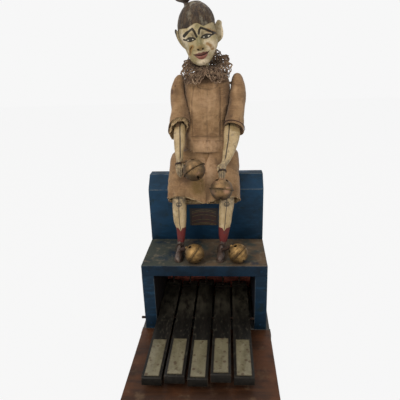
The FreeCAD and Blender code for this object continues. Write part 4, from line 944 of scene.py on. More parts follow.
def wrinkled(spots, centre, seed, size=13):
    """Moves cloth in and out about its middle by soft creases; returns the places and the depths."""
    slack = mottle(spots, size, seed, (1, 1, 0.55))
    depth = 0.65 * slack + 0.5 * ridged(spots, size * 0.8, seed + 3, (0.7, 0.7, 1.1))
    return spots + outward(spots * [1, 1, 0], centre) * depth[:, None], depth


def above_seat(spots, gap=0.5):
    """Lifts cloth off the seat, or pushes it ahead of the case's upper front."""
    x, y, z = spots.T.copy()
    seat = SEAT_TOP - np.clip(SEAT_EDGE + SEAT_RUN - y, 0, SEAT_RUN) + gap
    low = (y > SEAT_EDGE - gap) & (z < seat)
    lift = low & (z > SEAT_TOP - SEAT_RUN - 6)
    z = np.where(lift, seat, z)
    y = np.where(low & ~lift, SEAT_EDGE - gap, y)
    return joined(x, y, z)


# The bodice's half width and half depth by height.
BODICE_MIDDLE = np.array([FIGURE + 0.2, 89.5, 0])
BODICE_WIDTH = [
    (198, 30), (204, 28.6), (210, 27.4), (216, 26.2), (222, 26.4), (240, 26.8), (262, 27.4),
    (278, 27), (286, 25.6), (290.5, 22), (293, 15.5), (296, 13), (300, 12),
]
BODICE_DEPTH = [
    (198, 23.6), (204, 22.4), (210, 20.6), (216, 19), (222, 19.2), (240, 19.6), (262, 19.8),
    (278, 19.4), (286, 18.4), (290.5, 16.4), (293, 13), (296, 11.6), (300, 10.8),
]
BODICE_FOOT, BODICE_TOP = 201.5, 300
NECK_BACK = 6
FRONT_SEAMS = [
    [(-13.3, 220), (-14, 240), (-13, 262), (-10, 279)],
    [(4.2, 204), (4.6, 240), (5.2, 275)],
    [(19.4, 204), (20, 240), (20.4, 262), (20, 277)],
    [(-7.5, 282), (-5, 277.5), (-1, 275.6), (8, 275), (13, 275.6), (16, 277), (17.5, 279.5)],
    [(-22, 214.8), (4, 215.6), (28, 213.8)],
    [(-22, 219.4), (2, 220.8), (10, 219.6), (28, 219.9)],
]


def sew_bodice():
    """The romper's top, with its seams drawn in over a wooden body and gathered at the waist."""
    def tube(angle, share):
        z = BODICE_FOOT + (BODICE_TOP - BODICE_FOOT) * share
        s, c = squared(angle, 0.86)
        slim = 1 - (0.08 * bump(z, 202, 10) + 0.09 * bump(z, 230, 13)) * clamp(-2 * s)
        x = BODICE_MIDDLE[0] - curve(BODICE_WIDTH, z) * s * slim
        y = BODICE_MIDDLE[1] - curve(BODICE_DEPTH, z) * c * slim + NECK_BACK * clamp((z - 286) / 10)
        x -= 3 * bump(z, 216, 15) * clamp(s)
        spots, _ = wrinkled(joined(x, y, z), BODICE_MIDDLE, 1)
        front = (spots[:, 1] < BODICE_MIDDLE[1]).astype(float)
        flat = spots[:, [0, 2]]
        for line in FRONT_SEAMS:
            spots[:, 1] += 0.7 * front * near(flat, line, 0.2, 1.3)
            spots[:, 1] -= 0.35 * front * near(flat + np.array([2.0, 0]), line, 0.6, 1.6)
        waist = bump(z, 210, 5) * 0.5 * np.sin(angle * 26 + 2 * np.sin(angle * 3))
        spots[:, 1] -= waist * c
        spots[:, 0] -= waist * s
        return spots

    obj = skin(220, 130, tube, wall=0.8)
    spots = places(obj)
    front = (spots[:, 1] < BODICE_MIDDLE[1]).astype(float)
    flat = spots[:, [0, 2]]
    sun = front * bump(spots[:, 0], 4, 16) * (bump(spots[:, 2], 210, 9) + 0.5 * bump(spots[:, 2], 262, 14))
    _, depth = wrinkled(spots, BODICE_MIDDLE, 1)
    # Painted shade along the seams, under the collar, at the waist seam, at the sides and in the creases;
    # painted highlight on the crests and down the front.
    folds = [0.7 * near(flat, line, 0.5, 0.9) * front for line in FRONT_SEAMS]
    folds.append(clamp((spots[:, 2] - 279) / 4))
    folds.append(0.8 * clamp((203.2 - spots[:, 2]) / 1.2))
    folds.append(0.7 * clamp((np.abs(spots[:, 0] - FIGURE) - 17) / 8))
    folds.append(-depth * 1.2)
    paint(obj, fold=np.max(folds, axis=0), crest=depth * 0.9, sun=sun)
    return obj


ARM_AT = {name: joint_at(f"shoulder_{name}") for name in SIDES}
ELBOW_AT = {name: joint_at(f"elbow_{name}") for name in SIDES}
# The sleeves' half width and sideways drift by the distance down from the shoulder.
SLEEVE_HALF = [
    (-11.5, 0.4), (-10.6, 2.6), (-8, 5), (-2, 7.2), (6, 8.6),
    (20, 9.4), (34, 9.9), (44, 10.8), (54, 11.4), (60, 11.6),
]
SLEEVE_DRIFT = {
    "left": [(-11, 2.6), (0, 1.6), (8, 0.4), (20, 0.6), (34, 2.2), (44, 1.4), (60, -0.4)],
    "right": [(-11, 0), (0, 0.2), (8, 0.6), (20, 0.4), (34, -1.6), (44, -3), (60, -4.2)],
}
SLEEVE_FLARE = {"left": 1.4, "right": 0}
SLEEVE_HEM = {"left": (51, 8.5), "right": (55, 4.5)}
SLEEVE_SEED = {"left": 11, "right": 17}
SLEEVE_TOP = -11.5
BODY_POWER = 2.33


def off_the_body(spots, gap=1.0):
    """Pushes cloth out of the bodice, as a sleeve lies against it."""
    middle = BODICE_MIDDLE
    half_w = curve(BODICE_WIDTH, spots[:, 2]) + gap
    half_d = curve(BODICE_DEPTH, spots[:, 2]) + gap
    across = (spots[:, 0] - middle[0]) / half_w
    deep = (spots[:, 1] - middle[1]) / half_d
    size = (np.abs(across) ** BODY_POWER + np.abs(deep) ** BODY_POWER) ** (1 / BODY_POWER)
    push = np.where(size < 1, 1 / np.maximum(size, 0.2), 1)
    moved = spots.copy()
    moved[:, 0] = middle[0] + (spots[:, 0] - middle[0]) * push
    moved[:, 1] = middle[1] + (spots[:, 1] - middle[1]) * push
    return moved


def sew_sleeve(name, side):
    """A sleeve that hangs from its cap, with the frayed lining or the cord at its hem."""
    shoulder = ARM_AT[name]
    seed = SLEEVE_SEED[name]
    along = ELBOW_AT[name] - shoulder
    along = along / np.linalg.norm(along)
    forward = np.array([0, along[2], -along[1]])
    length, slant = SLEEVE_HEM[name]

    def tube(angle, share, inward=0):
        s, c = np.sin(angle), np.cos(angle)
        end = length - slant * c + 3.5 * side * s
        down = SLEEVE_TOP + (end - SLEEVE_TOP) * share
        half = curve(SLEEVE_HALF, down) - inward + SLEEVE_FLARE[name] * share ** 3
        drift = curve(SLEEVE_DRIFT[name], down)
        axis = shoulder + along * down[:, None]
        spots = axis + forward * (half * 1.03 * c)[:, None]
        spots[:, 0] += drift + half * s
        axis[:, 0] += drift
        out = outward(spots, axis)
        long_fold = np.sin(angle * 3 + 0.04 * down * side + seed)
        crease = mottle(spots, 11, seed, (1, 1, 0.6))
        ridge = ridged(spots, 10, seed + 3, (1, 1, 0.8))
        depth = clamp(share * 6) * (0.6 * long_fold * share + 0.75 * crease + 0.5 * ridge)
        hem = bump(share, 0.985, 0.012) * 0.35 - bump(share, 0.955, 0.008) * 0.3
        return off_the_body(spots + out * (depth + hem)[:, None])

    def frill(angle, share):
        spots = tube(angle, 0.9 + 0.17 * share, 1.3 + 2.2 * share)
        ruffle = (1.1 * np.sin(8 * angle + 2 * share) + 1.4 * mottle(spots, 3.5, 5)) * share
        spots[:, 2] += 0.8 * ruffle + 1.6 * mottle(spots, 2.2, 9) * share ** 6
        spots[:, 1] -= ruffle * np.cos(angle)
        spots[:, 0] += ruffle * np.sin(angle)
        return spots

    obj = skin(96, 110, tube, wall=0.8)
    spots = places(obj)
    crease = mottle(spots, 11, seed, (1, 1, 0.6))
    inner = clamp(-side * (spots[:, 0] - shoulder[0]) / 9)
    stain = np.zeros(len(spots))
    if name == "left":
        stain = bump(spots[:, 0], -36.5, 2.2) * bump(spots[:, 2], 273, 4)
        stain += bump(spots[:, 0], -32.5, 1.2) * bump(spots[:, 2], 279, 1.6)
    # Painted shade on the side towards the body and in the creases, painted highlight on the crests, and a
    # stain on the left sleeve.
    paint(obj, fold=np.maximum(0.6 * inner, -crease * 1.2), crest=crease, stain=stain)
    if name == "left":
        return obj, skin(96, 24, frill, wall=0.4)
    return obj, threads([tube(RING, np.full(len(RING), 0.95), -1.2)], 0.45, closed=True)


# The trouser legs by the share of their length from the waist to the hem.
TROUSER_MIDDLE = [(0, 89.5), (0.15, 88.5), (0.32, 85), (0.5, 75), (0.7, 62), (0.85, 55), (1, 52)]
TROUSER_HEIGHT = [(0, 207), (0.15, 200), (0.32, 191), (0.5, 178), (0.7, 164), (0.85, 156), (1, 146.5)]
TROUSER_DEEP = [
    (0, 16), (0.07, 18), (0.15, 19.5), (0.32, 18), (0.5, 15.5), (0.7, 14.5), (0.85, 14.6), (1, 14.8),
]
TROUSER_OUTER = [
    (0, 21), (0.08, 29), (0.16, 37), (0.32, 41.6), (0.5, 42.8), (0.7, 43.8), (0.85, 44.2), (1, 44.4),
]
TROUSER_LEAN = [(0, 0), (0.15, 8), (0.32, 25), (0.5, 38), (0.7, 40), (0.85, 39), (1, 38)]
CROTCH = 1.2
# Creases in the lap: pressed in as grooves and painted dark as shade, the right one as the forearm's painted
# shadow.
LAP_FOLDS = [
    [(-11, 193), (-15, 184), (-17.5, 168), (-15, 150)],
    [(14, 193), (17, 184), (20, 166), (21, 152)],
]
TROUSER_FRONT = [(144, 52), (213, 89)]
TROUSER_LAP = {"left": 2.2, "right": -0.6}
TROUSER_SEED = {"left": 23, "right": 31}


def sew_trouser_leg(name, side):
    """A wide trouser leg over the thigh, lapped at the crotch, and the frayed lining in its hem."""
    inner = CROTCH + TROUSER_LAP[name]
    seed = TROUSER_SEED[name]

    def tube(angle, share, inset=0):
        s, c = squared(angle, np.where(np.sin(angle) < 0, 0.42, 0.8))
        outer = curve(TROUSER_OUTER, share)
        outer = FIGURE * curve([(0, 1), (0.3, 0.1), (1, -0.6 * (side > 0))], share) + side * outer
        middle, height = curve(TROUSER_MIDDLE, share), curve(TROUSER_HEIGHT, share)
        lean = np.radians(curve(TROUSER_LEAN, share))
        inward, ahead = clamp(-s), clamp(c)
        dip = 10.5 * inward * ahead * share ** 3
        deep = curve(TROUSER_DEEP, share)
        x = (outer + inner) / 2 + (outer - inner) / 2 * s
        spots = joined(x, middle - deep * c * np.cos(lean), height + deep * c * np.sin(lean) - dip)
        out = outward(spots, joined((outer + inner) / 2, middle, height))
        gather = np.sin(angle * 15 + 1.5 * np.sin(angle * 4)) * bump(share, 0.02, 0.14) * 0.8
        crease = mottle(spots, 15, seed, (1, 1, 0.7))
        ridge = ridged(spots, 12, seed + 3, (1, 1, 0.8))
        ruffle = np.sin(angle * 9 + seed) * share ** 5 * 0.9
        depth = np.clip(share * 8, 0.1, 1) * (1.1 * crease + 0.8 * ridge) + gather + ruffle
        hem = bump(share, 0.985, 0.01) * 0.4 - bump(share, 0.955, 0.008) * 0.35
        depth = depth * np.clip(1.1 - inward, 0.05, 1)
        for line in LAP_FOLDS:
            depth -= 1.6 * near(spots[:, [0, 2]], line, 0.4, 3) * ahead
        spots = spots + out * (depth + hem - inset)[:, None]
        over = side * (spots[:, 0] - CROTCH - TROUSER_LAP[name]) < 0
        spots[over, 0] = inner
        if name == "left":
            spots[:, 1] -= 0.9 * ahead * bump(spots[:, 0], CROTCH + 2, 5)
        return above_seat(spots)

    def frill(angle, share):
        s, c = squared(angle, 0.8)
        length = 0.06 + 0.035 * clamp(-c) + 0.03 * clamp(-s)
        spots = tube(angle, 0.93 + (0.015 + length) * share, 1.3 + 0.9 * share)
        ruffle = (0.8 * np.sin(13 * angle + 2 * share) + 1.2 * mottle(spots, 3.5, 5)) * share
        spots[:, 0] += ruffle * np.sin(angle) * side
        spots[:, 1] -= ruffle * np.cos(angle)
        spots[:, 2] += 1.4 * mottle(spots, 2.4, 9) * share ** 5
        return spots

    obj = skin(130, 130, tube, wall=0.8)
    spots = places(obj)
    crease = mottle(spots, 15, seed, (1, 1, 0.7))
    in_front = clamp((curve(TROUSER_FRONT, spots[:, 2]) - spots[:, 1]) / 6)
    # Painted shade in the lap, at the crotch, under the bodice, at the back and in the creases; painted
    # highlight on the crests and down the front; a rust stain low in front.
    folds = [0.9 * near(spots[:, [0, 2]], line, 0.8, 2.6) * in_front for line in LAP_FOLDS]
    folds.append(0.1 * clamp(1 - side * (spots[:, 0] - CROTCH) / 5))
    folds.append(0.4 * bump(spots[:, 2], 206, 4))
    folds.append(0.45 * (1 - in_front))
    folds.append(-crease * 1.2)
    low_front = bump(spots[:, 0], -7, 8) * bump(spots[:, 2], 166, 11) * in_front
    sun = bump(spots[:, 0], 3, 11) * bump(spots[:, 2], 182, 17) * in_front * (1 - low_front)
    paint(obj, fold=np.max(folds, axis=0), crest=crease, sun=sun, rust=low_front)
    return obj, skin(130, 24, frill, wall=0.4)


SEAT_WIDTH = [(168, 27), (178, 29), (190, 29), (200, 27.4), (206, 26)]
SEAT_DEPTH = [(168, 20.6), (178, 21.6), (190, 21.2), (200, 19.6), (206, 18.4)]


def sew_seat():
    """The romper's seat, from under the bodice down to the cap that the figure sits on."""
    def tube(angle, share):
        z = 206 - 36 * share
        s, c = squared(angle, 0.8)
        x = BODICE_MIDDLE[0] - curve(SEAT_WIDTH, z) * s
        y = BODICE_MIDDLE[1] - curve(SEAT_DEPTH, z) * c
        spots, _ = wrinkled(joined(x, y, z), BODICE_MIDDLE, 5)
        return above_seat(spots)

    obj = skin(130, 40, tube, wall=0.8)
    spots = places(obj)
    _, depth = wrinkled(spots, BODICE_MIDDLE, 5)
    # Painted shade in the creases and where the cloth meets the seat; painted highlight on the crests.
    paint(obj, fold=np.maximum(-depth * 1.2, bump(spots[:, 2], 169, 5)), crest=depth * 0.9)
    return obj


bodice = own(sew_bodice(), "romper_bodice", linen, "stand", ["romper"])
seat = own(sew_seat(), "romper_seat", linen, "stand")
for name, side in SIDES.items():
    outside, inside = sew_sleeve(name, side)
    sleeve = own(outside, f"sleeve_cloth_{name}", linen, f"arm_{name}", [f"sleeve_{name}"])
    if name == "left":
        frill = own(inside, "sleeve_lining", lining, "arm_left")
    else:
        own(inside, "sleeve_cord", hem_cord, "arm_right")
    outside, inside = sew_trouser_leg(name, side)
    trousers = own(outside, f"trouser_cloth_{name}", linen, None, [f"trouser_leg_{name}"])
    frill = own(inside, f"trouser_lining_{name}", lining)
    for piece in (trousers, frill):
        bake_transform(piece)

# The end of each shoulder crank is sewn into the sleeve's cloth.
for name in SIDES:
    dress(linen, f"shoulder_crank_{name}")

# ---- carved limbs ---------------------------------------------------------------------------------

# The face's ivory oil paint on the limbs, with red for the socks and brown for the shoes, all rubbed; grey
# from handling on the hands, painted shade under the trouser hems and in the cuts of the fingers and shoes,
# and painted highlights on the shoes.
limb_paint = finish(
    "Aged ivory oil paint on limbs",
    "#ab9773",
    layers=[
        ("#8b764d", 0.7, [grain(10, 0.42, 0.62, stretch=(1, 1, 0.4))], 0.5),
        ("#c0b092", 0.5, [grain(6, 0.52, 0.68, shift=6)], 0.45),
        ("#6c604c", 0.65, [grain(3.5, 0.54, 0.66, shift=3)], 0.55),
        # Grey from handling on the hands and forearms; painted shade on the shins under the trouser hems.
        ("#5d5142", 0.8, [painted("grime", 0.1, 1), grain(3, 0.35, 0.6)], 0.6),
        ("#5a0f0c", 1.0, [SOCK], 0.75),
        ("#3d100e", 0.7, [SOCK, grain(6, 0.42, 0.62, shift=1)], 0.6),
        ("#483830", 1.0, [LEATHER], 0.45),
        ("#2c211d", 0.8, [LEATHER, grain(5, 0.45, 0.62, shift=2)], 0.5),
        # Lighter patches on the shoes: painted highlights.
        ("#75665b", 0.6, [LEATHER, grain(4, 0.55, 0.7, shift=7)], 0.4),
        ("#221a13", 0.92, [painted("ink", 0.15, 0.75)], 0.5),
    ],
    bumps=[grit(0.1, 2.5), (0.25, [grain(7, 0.35, 0.65, stretch=(1, 1, 0.4))])],
    roughness=0.45,
)

# The shins' middle and half width by height, and their depth.
LEG_RISE = (90, 98, 106, 116, 121, 130, 141, 158)
LEG_MIDDLE = {
    "left": list(zip(LEG_RISE, (-30.3, -29.4, -29, -29.2, -30, -30.5, -30.6, -30.8))),
    "right": list(zip(LEG_RISE, (20.2, 22, 22.6, 23.7, 24.4, 25.1, 26.5, 27.2))),
}
LEG_HALF = {
    "left": list(zip(LEG_RISE, (4.2, 3.8, 4.6, 5.9, 7.2, 8.1, 8.5, 8))),
    "right": list(zip(LEG_RISE, (4.2, 3.8, 5.5, 6.7, 7.4, 8, 8.8, 8.4))),
}
LEG_BACK = [(90, 34.5), (98, 36.7), (106, 39), (116, 42), (130, 46), (141, 49.5), (158, 54)]
LEG_DEEP = [(90, 4.4), (98, 4.4), (106, 4.8), (116, 5.6), (130, 6.6), (158, 6.2)]
LEG_FOOT, LEG_TOP = 90, 157
SOCK_TOP, SHOE_TOP = 116.5, 100.5
KNEE_CURL = [(0, 144.5), (1.7, 146), (3, 144.4), (2.6, 142.2), (1.1, 141.6), (0.6, 143), (1.8, 143.6)]


def sock_edge(off, in_front):
    """The height of a sock's top, which dips to a point in front."""
    return SOCK_TOP - 3.5 * clamp(1 - np.abs(off) / 2.6) * in_front


def carve_leg(name):
    """A shin with a groove down its front, a red sock and painted curls at its knee."""
    def shin(angle, share):
        z = LEG_FOOT + (LEG_TOP - LEG_FOOT) * share
        closing = rounded(share, 40)
        half = curve(LEG_HALF[name], z)
        s, c = squared(angle, 0.9)
        off = half * s
        in_front = (c > 0) * 1.0
        above = z - sock_edge(off, in_front)
        cuff = 0.3 * clamp(-above / 0.4)
        groove = 0.75 * bump(off, 0, 0.65) * in_front * clamp(above / 2)
        x = curve(LEG_MIDDLE[name], z) + (half + cuff) * s * closing
        y = curve(LEG_BACK, z) - ((curve(LEG_DEEP, z) + cuff) * c - groove) * closing
        return joined(x, y, z)

    obj = skin(80, 130, shin)
    spots = places(obj)
    z = spots[:, 2]
    off = spots[:, 0] - curve(LEG_MIDDLE[name], z)
    in_front = (spots[:, 1] < curve(LEG_BACK, z)) * 1.0
    flat = joined(off, z)
    sock = clamp((sock_edge(off, in_front) - z) / 0.3 + 0.5)
    strokes = [0.9 * near(flat, mirrored(KNEE_CURL, hand), 0.5, 0.4) for hand in SIDES.values()]
    strokes.append(near(flat, [(0, SOCK_TOP - 2), (0, LEG_TOP)], 0.5, 0.5))
    ink = np.max(strokes, axis=0) * in_front * (1 - sock)
    # Painted shade on the shin just under the trouser hem.
    paint(obj, ink=ink, sock=sock, leather=clamp((SHOE_TOP - z) / 2), grime=bump(z, 150, 9))
    return obj


SHOE_HEEL, SHOE_TOE, SHELF = 43, 7.5, 85.2
SHOE_LINE = {"left": [(0, -30.6), (0.3, -30.4), (1, -30.1)], "right": [(0, 20.6), (0.3, 20.2), (1, 18.6)]}
SHOE_WIDE = [(0, 3.4), (0.12, 4.3), (0.3, 4.6), (0.5, 4.3), (0.72, 4.9), (0.9, 4.5), (1, 3.6)]
SHOE_TALL = [(0, 9), (0.12, 13.5), (0.3, 15.5), (0.45, 12.5), (0.6, 9.6), (0.8, 8), (1, 6)]


def carve_shoe(name):
    """A low shoe cut from the foot's wood: heel, raised waist, toe cap and the edge of its sole."""
    def upper(angle, share):
        closing = rounded(share, 14)
        s, c = squared(angle, 0.8)
        tall = curve(SHOE_TALL, share)
        under = 1.8 * bump(share, 0.4, 0.09)
        up = np.where(c > 0, 0.36 + 0.64 * c, 0.36 * (1 + np.sign(c) * np.abs(c) ** 0.4))
        z = SHELF + under + (tall * (0.35 + 0.65 * closing) - under) * up
        sole = 0.45 * clamp((SHELF + 2.4 - z) / 0.4)
        cap = 0.35 * bump(share, 0.74, 0.012) + 0.3 * bump(z, SHELF + 2.7, 0.4)
        taper = 0.62 + 0.38 * (1 - clamp((z - SHELF) / 15))
        wide = (curve(SHOE_WIDE, share) * taper + sole - cap) * closing
        x = curve(SHOE_LINE[name], share) + wide * s
        return joined(x, SHOE_HEEL + (SHOE_TOE - SHOE_HEEL) * share, z)

    obj = skin(64, 110, upper)
    spots = places(obj)
    along = (SHOE_HEEL - spots[:, 1]) / (SHOE_HEEL - SHOE_TOE)
    # Painted shade in the grooves along the sole's edge and the toe cap.
    ink = np.maximum(0.8 * bump(spots[:, 2], SHELF + 2.7, 0.5), 0.8 * bump(along, 0.74, 0.012))
    paint(obj, leather=np.ones(len(spots)), ink=ink)
    return obj


ARM_TIP = {"left": np.array([-25, 29, 185.5]), "right": np.array([21.5, 15, 185])}
# The forearms by the share of the way from the elbow to the finger tips.
ARM_MIDDLE = {
    "left": [
        (-0.15, -28.6), (0.03, -28.5), (0.32, -28), (0.51, -27.9), (0.68, -26.9), (0.84, -27), (1.03, -25.2),
    ],
    "right": [
        (-0.15, 34.5), (0.1, 33.4), (0.33, 32), (0.51, 29.2), (0.67, 26.4), (0.78, 22.9), (0.93, 21.9),
        (1.05, 21.6),
    ],
}
ARM_HALF = {
    "left": [(-0.15, 6.2), (0.03, 6.8), (0.32, 6.4), (0.51, 5), (0.68, 4), (0.8, 3.2)],
    "right": [(-0.15, 8), (0.1, 9.6), (0.33, 8), (0.51, 6.6), (0.67, 4.6), (0.8, 3.4)],
}
ARM_DEEP = [(-0.15, 5), (0.1, 5.2), (0.4, 4.8), (0.68, 3.6), (0.8, 3)]
ARM_GROOVE = {
    "left": [(0, 0.8), (0.32, 1.4), (0.51, 1.7), (0.7, 1.2)],
    "right": [(0, -3.4), (0.33, -3.2), (0.67, -1)],
}


def forearm_ways(name):
    """The way from the elbow to the finger tips, seen from the side, and the way square to it, ahead."""
    line = ARM_TIP[name] - ELBOW_AT[name]
    line[0] = 0
    return line, np.array([0, line[2], -line[1]])


def arm_places(name, off, ahead, down):
    """Places on a forearm: off its middle line, ahead of it, and down its length."""
    line, front = forearm_ways(name)
    front = front / np.linalg.norm(line)
    spots = ELBOW_AT[name] + line * down[:, None] + front * ahead[:, None]
    spots[:, 0] = curve(ARM_MIDDLE[name], down) + off
    return spots


def carve_forearm(name):
    """A forearm that tapers to the wrist, with a dark groove down its front."""
    def arm(angle, share):
        down = -0.15 + 0.95 * share
        closing = rounded(share, 30)
        s, c = squared(angle, 0.88)
        off = curve(ARM_HALF[name], down) * s
        groove = 0.9 * bump(off, curve(ARM_GROOVE[name], down), 0.6) * (c > 0)
        groove = groove * clamp((0.72 - down) * 12)
        return arm_places(name, off * closing, (curve(ARM_DEEP, down) * c - groove) * closing, down)

    obj = skin(80, 110, arm)
    line, front = forearm_ways(name)
    spots = places(obj)
    down = (spots - ELBOW_AT[name]) @ line / (line @ line)
    off = spots[:, 0] - curve(ARM_MIDDLE[name], down)
    ahead = (spots - ELBOW_AT[name]) @ front
    ink = bump(off, curve(ARM_GROOVE[name], down), 0.75) * (ahead > 0) * clamp((0.74 - down) * 10)
    paint(obj, ink=ink, grime=clamp((down - 0.55) * 4))
    return obj


HAND_HALF = [(0.7, 2.8), (0.76, 3.6), (0.84, 4.1), (0.93, 3.9), (1, 3.1), (1.05, 1.6)]
HAND_DEEP = [(0.7, 2.8), (0.85, 2.6), (1.05, 2)]
FINGER_GAPS = (-1.9, 0, 1.9)


def carve_hand(name):
    """A mitten hand with its fingers cut apart, grey from handling."""
    def mitten(angle, share):
        s, c = squared(angle, 0.85)
        down = 0.7 + (0.34 - 0.035 * s ** 2) * share
        closing = rounded(share, 16)
        half = curve(HAND_HALF, down)
        off = half * s
        cut = sum(bump(off, gap, 0.42) for gap in FINGER_GAPS) * clamp((down - 0.86) * 30)
        knuckles = 0.35 * bump(down, 0.86, 0.02)
        deep = curve(HAND_DEEP, down) + knuckles - 0.9 * cut
        curl = -40 * clamp(down - 0.88) ** 2 * 3
        return arm_places(name, off * closing, deep * c * closing + curl, down)

    obj = skin(72, 80, mitten)
    spots = places(obj)
    off = spots[:, 0] - ARM_TIP[name][0]
    low = clamp((ELBOW_AT[name][2] - spots[:, 2]) / (ELBOW_AT[name] - ARM_TIP[name])[2] - 0.86) * 20
    # Painted shade in the cuts between the fingers.
    ink = sum(bump(off, gap, 0.5) for gap in FINGER_GAPS) * np.clip(low, 0, 0.7)
    paint(obj, ink=ink, grime=np.ones(len(spots)))
    return obj


THUMB_TAPER = [(0, 1.1), (0.6, 0.9), (1, 1)]
THUMB_OFF = [(0, 2.4), (0.4, 4.6), (1, 4.2)]
THUMB_AHEAD = [(0, 0.6), (0.5, 2.2), (1, 3.2)]


def carve_thumb(name, side):
    """The thumb, bent over the wire that the bell hangs on."""
    def joint(angle, share):
        radius = 1.35 * rounded(share, 6) * curve(THUMB_TAPER, share)
        off = -side * curve(THUMB_OFF, share) + radius * np.sin(angle)
        ahead = curve(THUMB_AHEAD, share) + radius * np.cos(angle)
        return arm_places(name, off, ahead, 0.73 + 0.17 * share)

    obj = skin(24, 24, joint)
    paint(obj, grime=np.ones(len(obj.data.vertices)))
    return obj


BINDING_AT = {"left": 0.77, "right": 0.86}
BINDING_TURNS = 4


def bind_hand(name):
    """Turns of iron wire that tie the bell's shank to the hand."""
    turn = np.linspace(0, BINDING_TURNS * FULL_TURN, 24 * BINDING_TURNS)
    down = BINDING_AT[name] + 0.008 * turn / FULL_TURN + 0.004 * np.sin(2 * turn)
    half = curve(HAND_HALF, down) + 0.5
    wire = arm_places(name, half * np.sin(turn), 3.3 * np.cos(turn), down)
    return threads([wire], 0.45)


def bind_foot(name):
    """Turns of iron wire round the instep."""
    turn = np.linspace(0, 3 * FULL_TURN, 72)
    share = 0.42 + 0.016 * turn / FULL_TURN
    tall = curve(SHOE_TALL, share)
    x = curve(SHOE_LINE[name], share) + 4.6 * np.sin(turn)
    z = SHELF + 2.2 + tall * 0.42 + (tall * 0.48 + 0.4) * np.cos(turn)
    y = SHOE_HEEL + (SHOE_TOE - SHOE_HEEL) * share + 1.2 * np.cos(turn)
    return threads([joined(x, y, z)], 0.4)


for name, side in SIDES.items():
    own(carve_leg(name), f"shin_carved_{name}", limb_paint, f"shin_{name}", [f"lower_leg_{name}"])
    own(carve_shoe(name), f"shoe_{name}", limb_paint, f"shin_{name}")
    own(bind_foot(name), f"foot_binding_{name}", iron_rust, f"shin_{name}")
    own(carve_forearm(name), f"forearm_carved_{name}", limb_paint, f"forearm_{name}", [f"forearm_{name}"])
    own(carve_hand(name), f"hand_{name}", limb_paint, f"forearm_{name}")
    own(carve_thumb(name, side), f"thumb_{name}", limb_paint, f"forearm_{name}")
    own(bind_hand(name), f"hand_binding_{name}", iron_rust, f"forearm_{name}")

# ---- rims of the bells ----------------------------------------------------------------------------

# Each bell's middle, its pole, and how many fine ridges run beside its rim.
HAND_BELL, FOOT_BELL = 12.4, 11.3
BELLS = {
    "hand_bell_left": ((-9, 24.5, 191.6), (-0.53, 0.36, 0.77), HAND_BELL, 0),
    "hand_bell_right": ((21.2, 12, 172.6), (0.08, 0.36, 0.93), HAND_BELL, 0),
    "foot_bell_left": ((-10.6, 8, SHELF + FOOT_BELL), (-0.81, 0.18, 0.56), FOOT_BELL, 1),
    "foot_bell_right": ((39.4, 9, SHELF + FOOT_BELL), (-0.69, 0.22, 0.69), FOOT_BELL, 3),
}
FLANGE, RIDGE_PITCH, WINDING_PITCH = 1.5, 1.9, 1.1
FOOT_TIE = {"left": (-30.2, 25.5, SHELF + 7), "right": (18.8, 25.5, SHELF + 7)}


def turned_round(middle, pole, radial, turn, along):
    """Places about a bell: at a radius and a turn round its pole, along the pole from its middle."""
    pole = np.array(Vector(pole).normalized())
    across = np.cross(pole, [0, 1, 0])
    across /= np.linalg.norm(across)
    other = np.cross(pole, across)
    out = across * np.sin(turn)[:, None] + other * np.cos(turn)[:, None]
    return np.array(middle) + out * radial[:, None] + pole * along[:, None]


def roll_rim(node, middle, pole, radius, ridges):
    """The folded flange where a bell's two shells meet, and the fine ridges spun beside it."""
    def flange(turn, share):
        round_section = share * FULL_TURN
        lap = 0.3 * np.exp(-(np.sin(round_section) * 3) ** 2) * (np.cos(round_section) > 0)
        radial = radius + 0.5 * FLANGE - 0.2 + (0.5 * FLANGE + 0.2) * np.cos(round_section) - lap
        return turned_round(middle, pole, radial, turn, 0.5 * np.sin(round_section))

    # The rims take the foot bells' brighter brass: on the hand bells this is a painted highlight along the
    # flange.
    own(skin(96, 24, flange), f"{node}_rim", bell_bright, BODY_OF[node])
    for number in range(ridges):
        along = np.full(len(RING), (number + 1) * RIDGE_PITCH * (-1) ** number)
        radial = np.sqrt(radius ** 2 - along ** 2) + 0.05
        ring = threads([turned_round(middle, pole, radial, RING, along)], 0.3, closed=True)
        own(ring, f"{node}_ridge_{number + 1}", bell_bright, BODY_OF[node])


def wind_shank(name, node):
    """Turns of iron wire round the shank that holds a foot bell to the shoe."""
    middle, pole, radius, _ = BELLS[node]
    crown = np.array(middle) + np.array(Vector(pole).normalized()) * radius
    away = np.array(FOOT_TIE[name]) - crown
    reach = np.linalg.norm(away)
    turns = round(reach / WINDING_PITCH)
    turn = np.linspace(0, turns * FULL_TURN, turns * 16)
    along = np.linspace(0.4, reach, len(turn))
    wire = turned_round(crown, away, np.full(len(turn), 1.75), turn, along)
    own(threads([wire], 0.6), f"{node}_winding", iron_rust, BODY_OF[node])


for node, (middle, pole, radius, ridges) in BELLS.items():
    roll_rim(node, middle, pole, radius, ridges)
for name in SIDES:
    wind_shank(name, f"foot_bell_{name}")

# ---- lace collar ----------------------------------------------------------------------------------

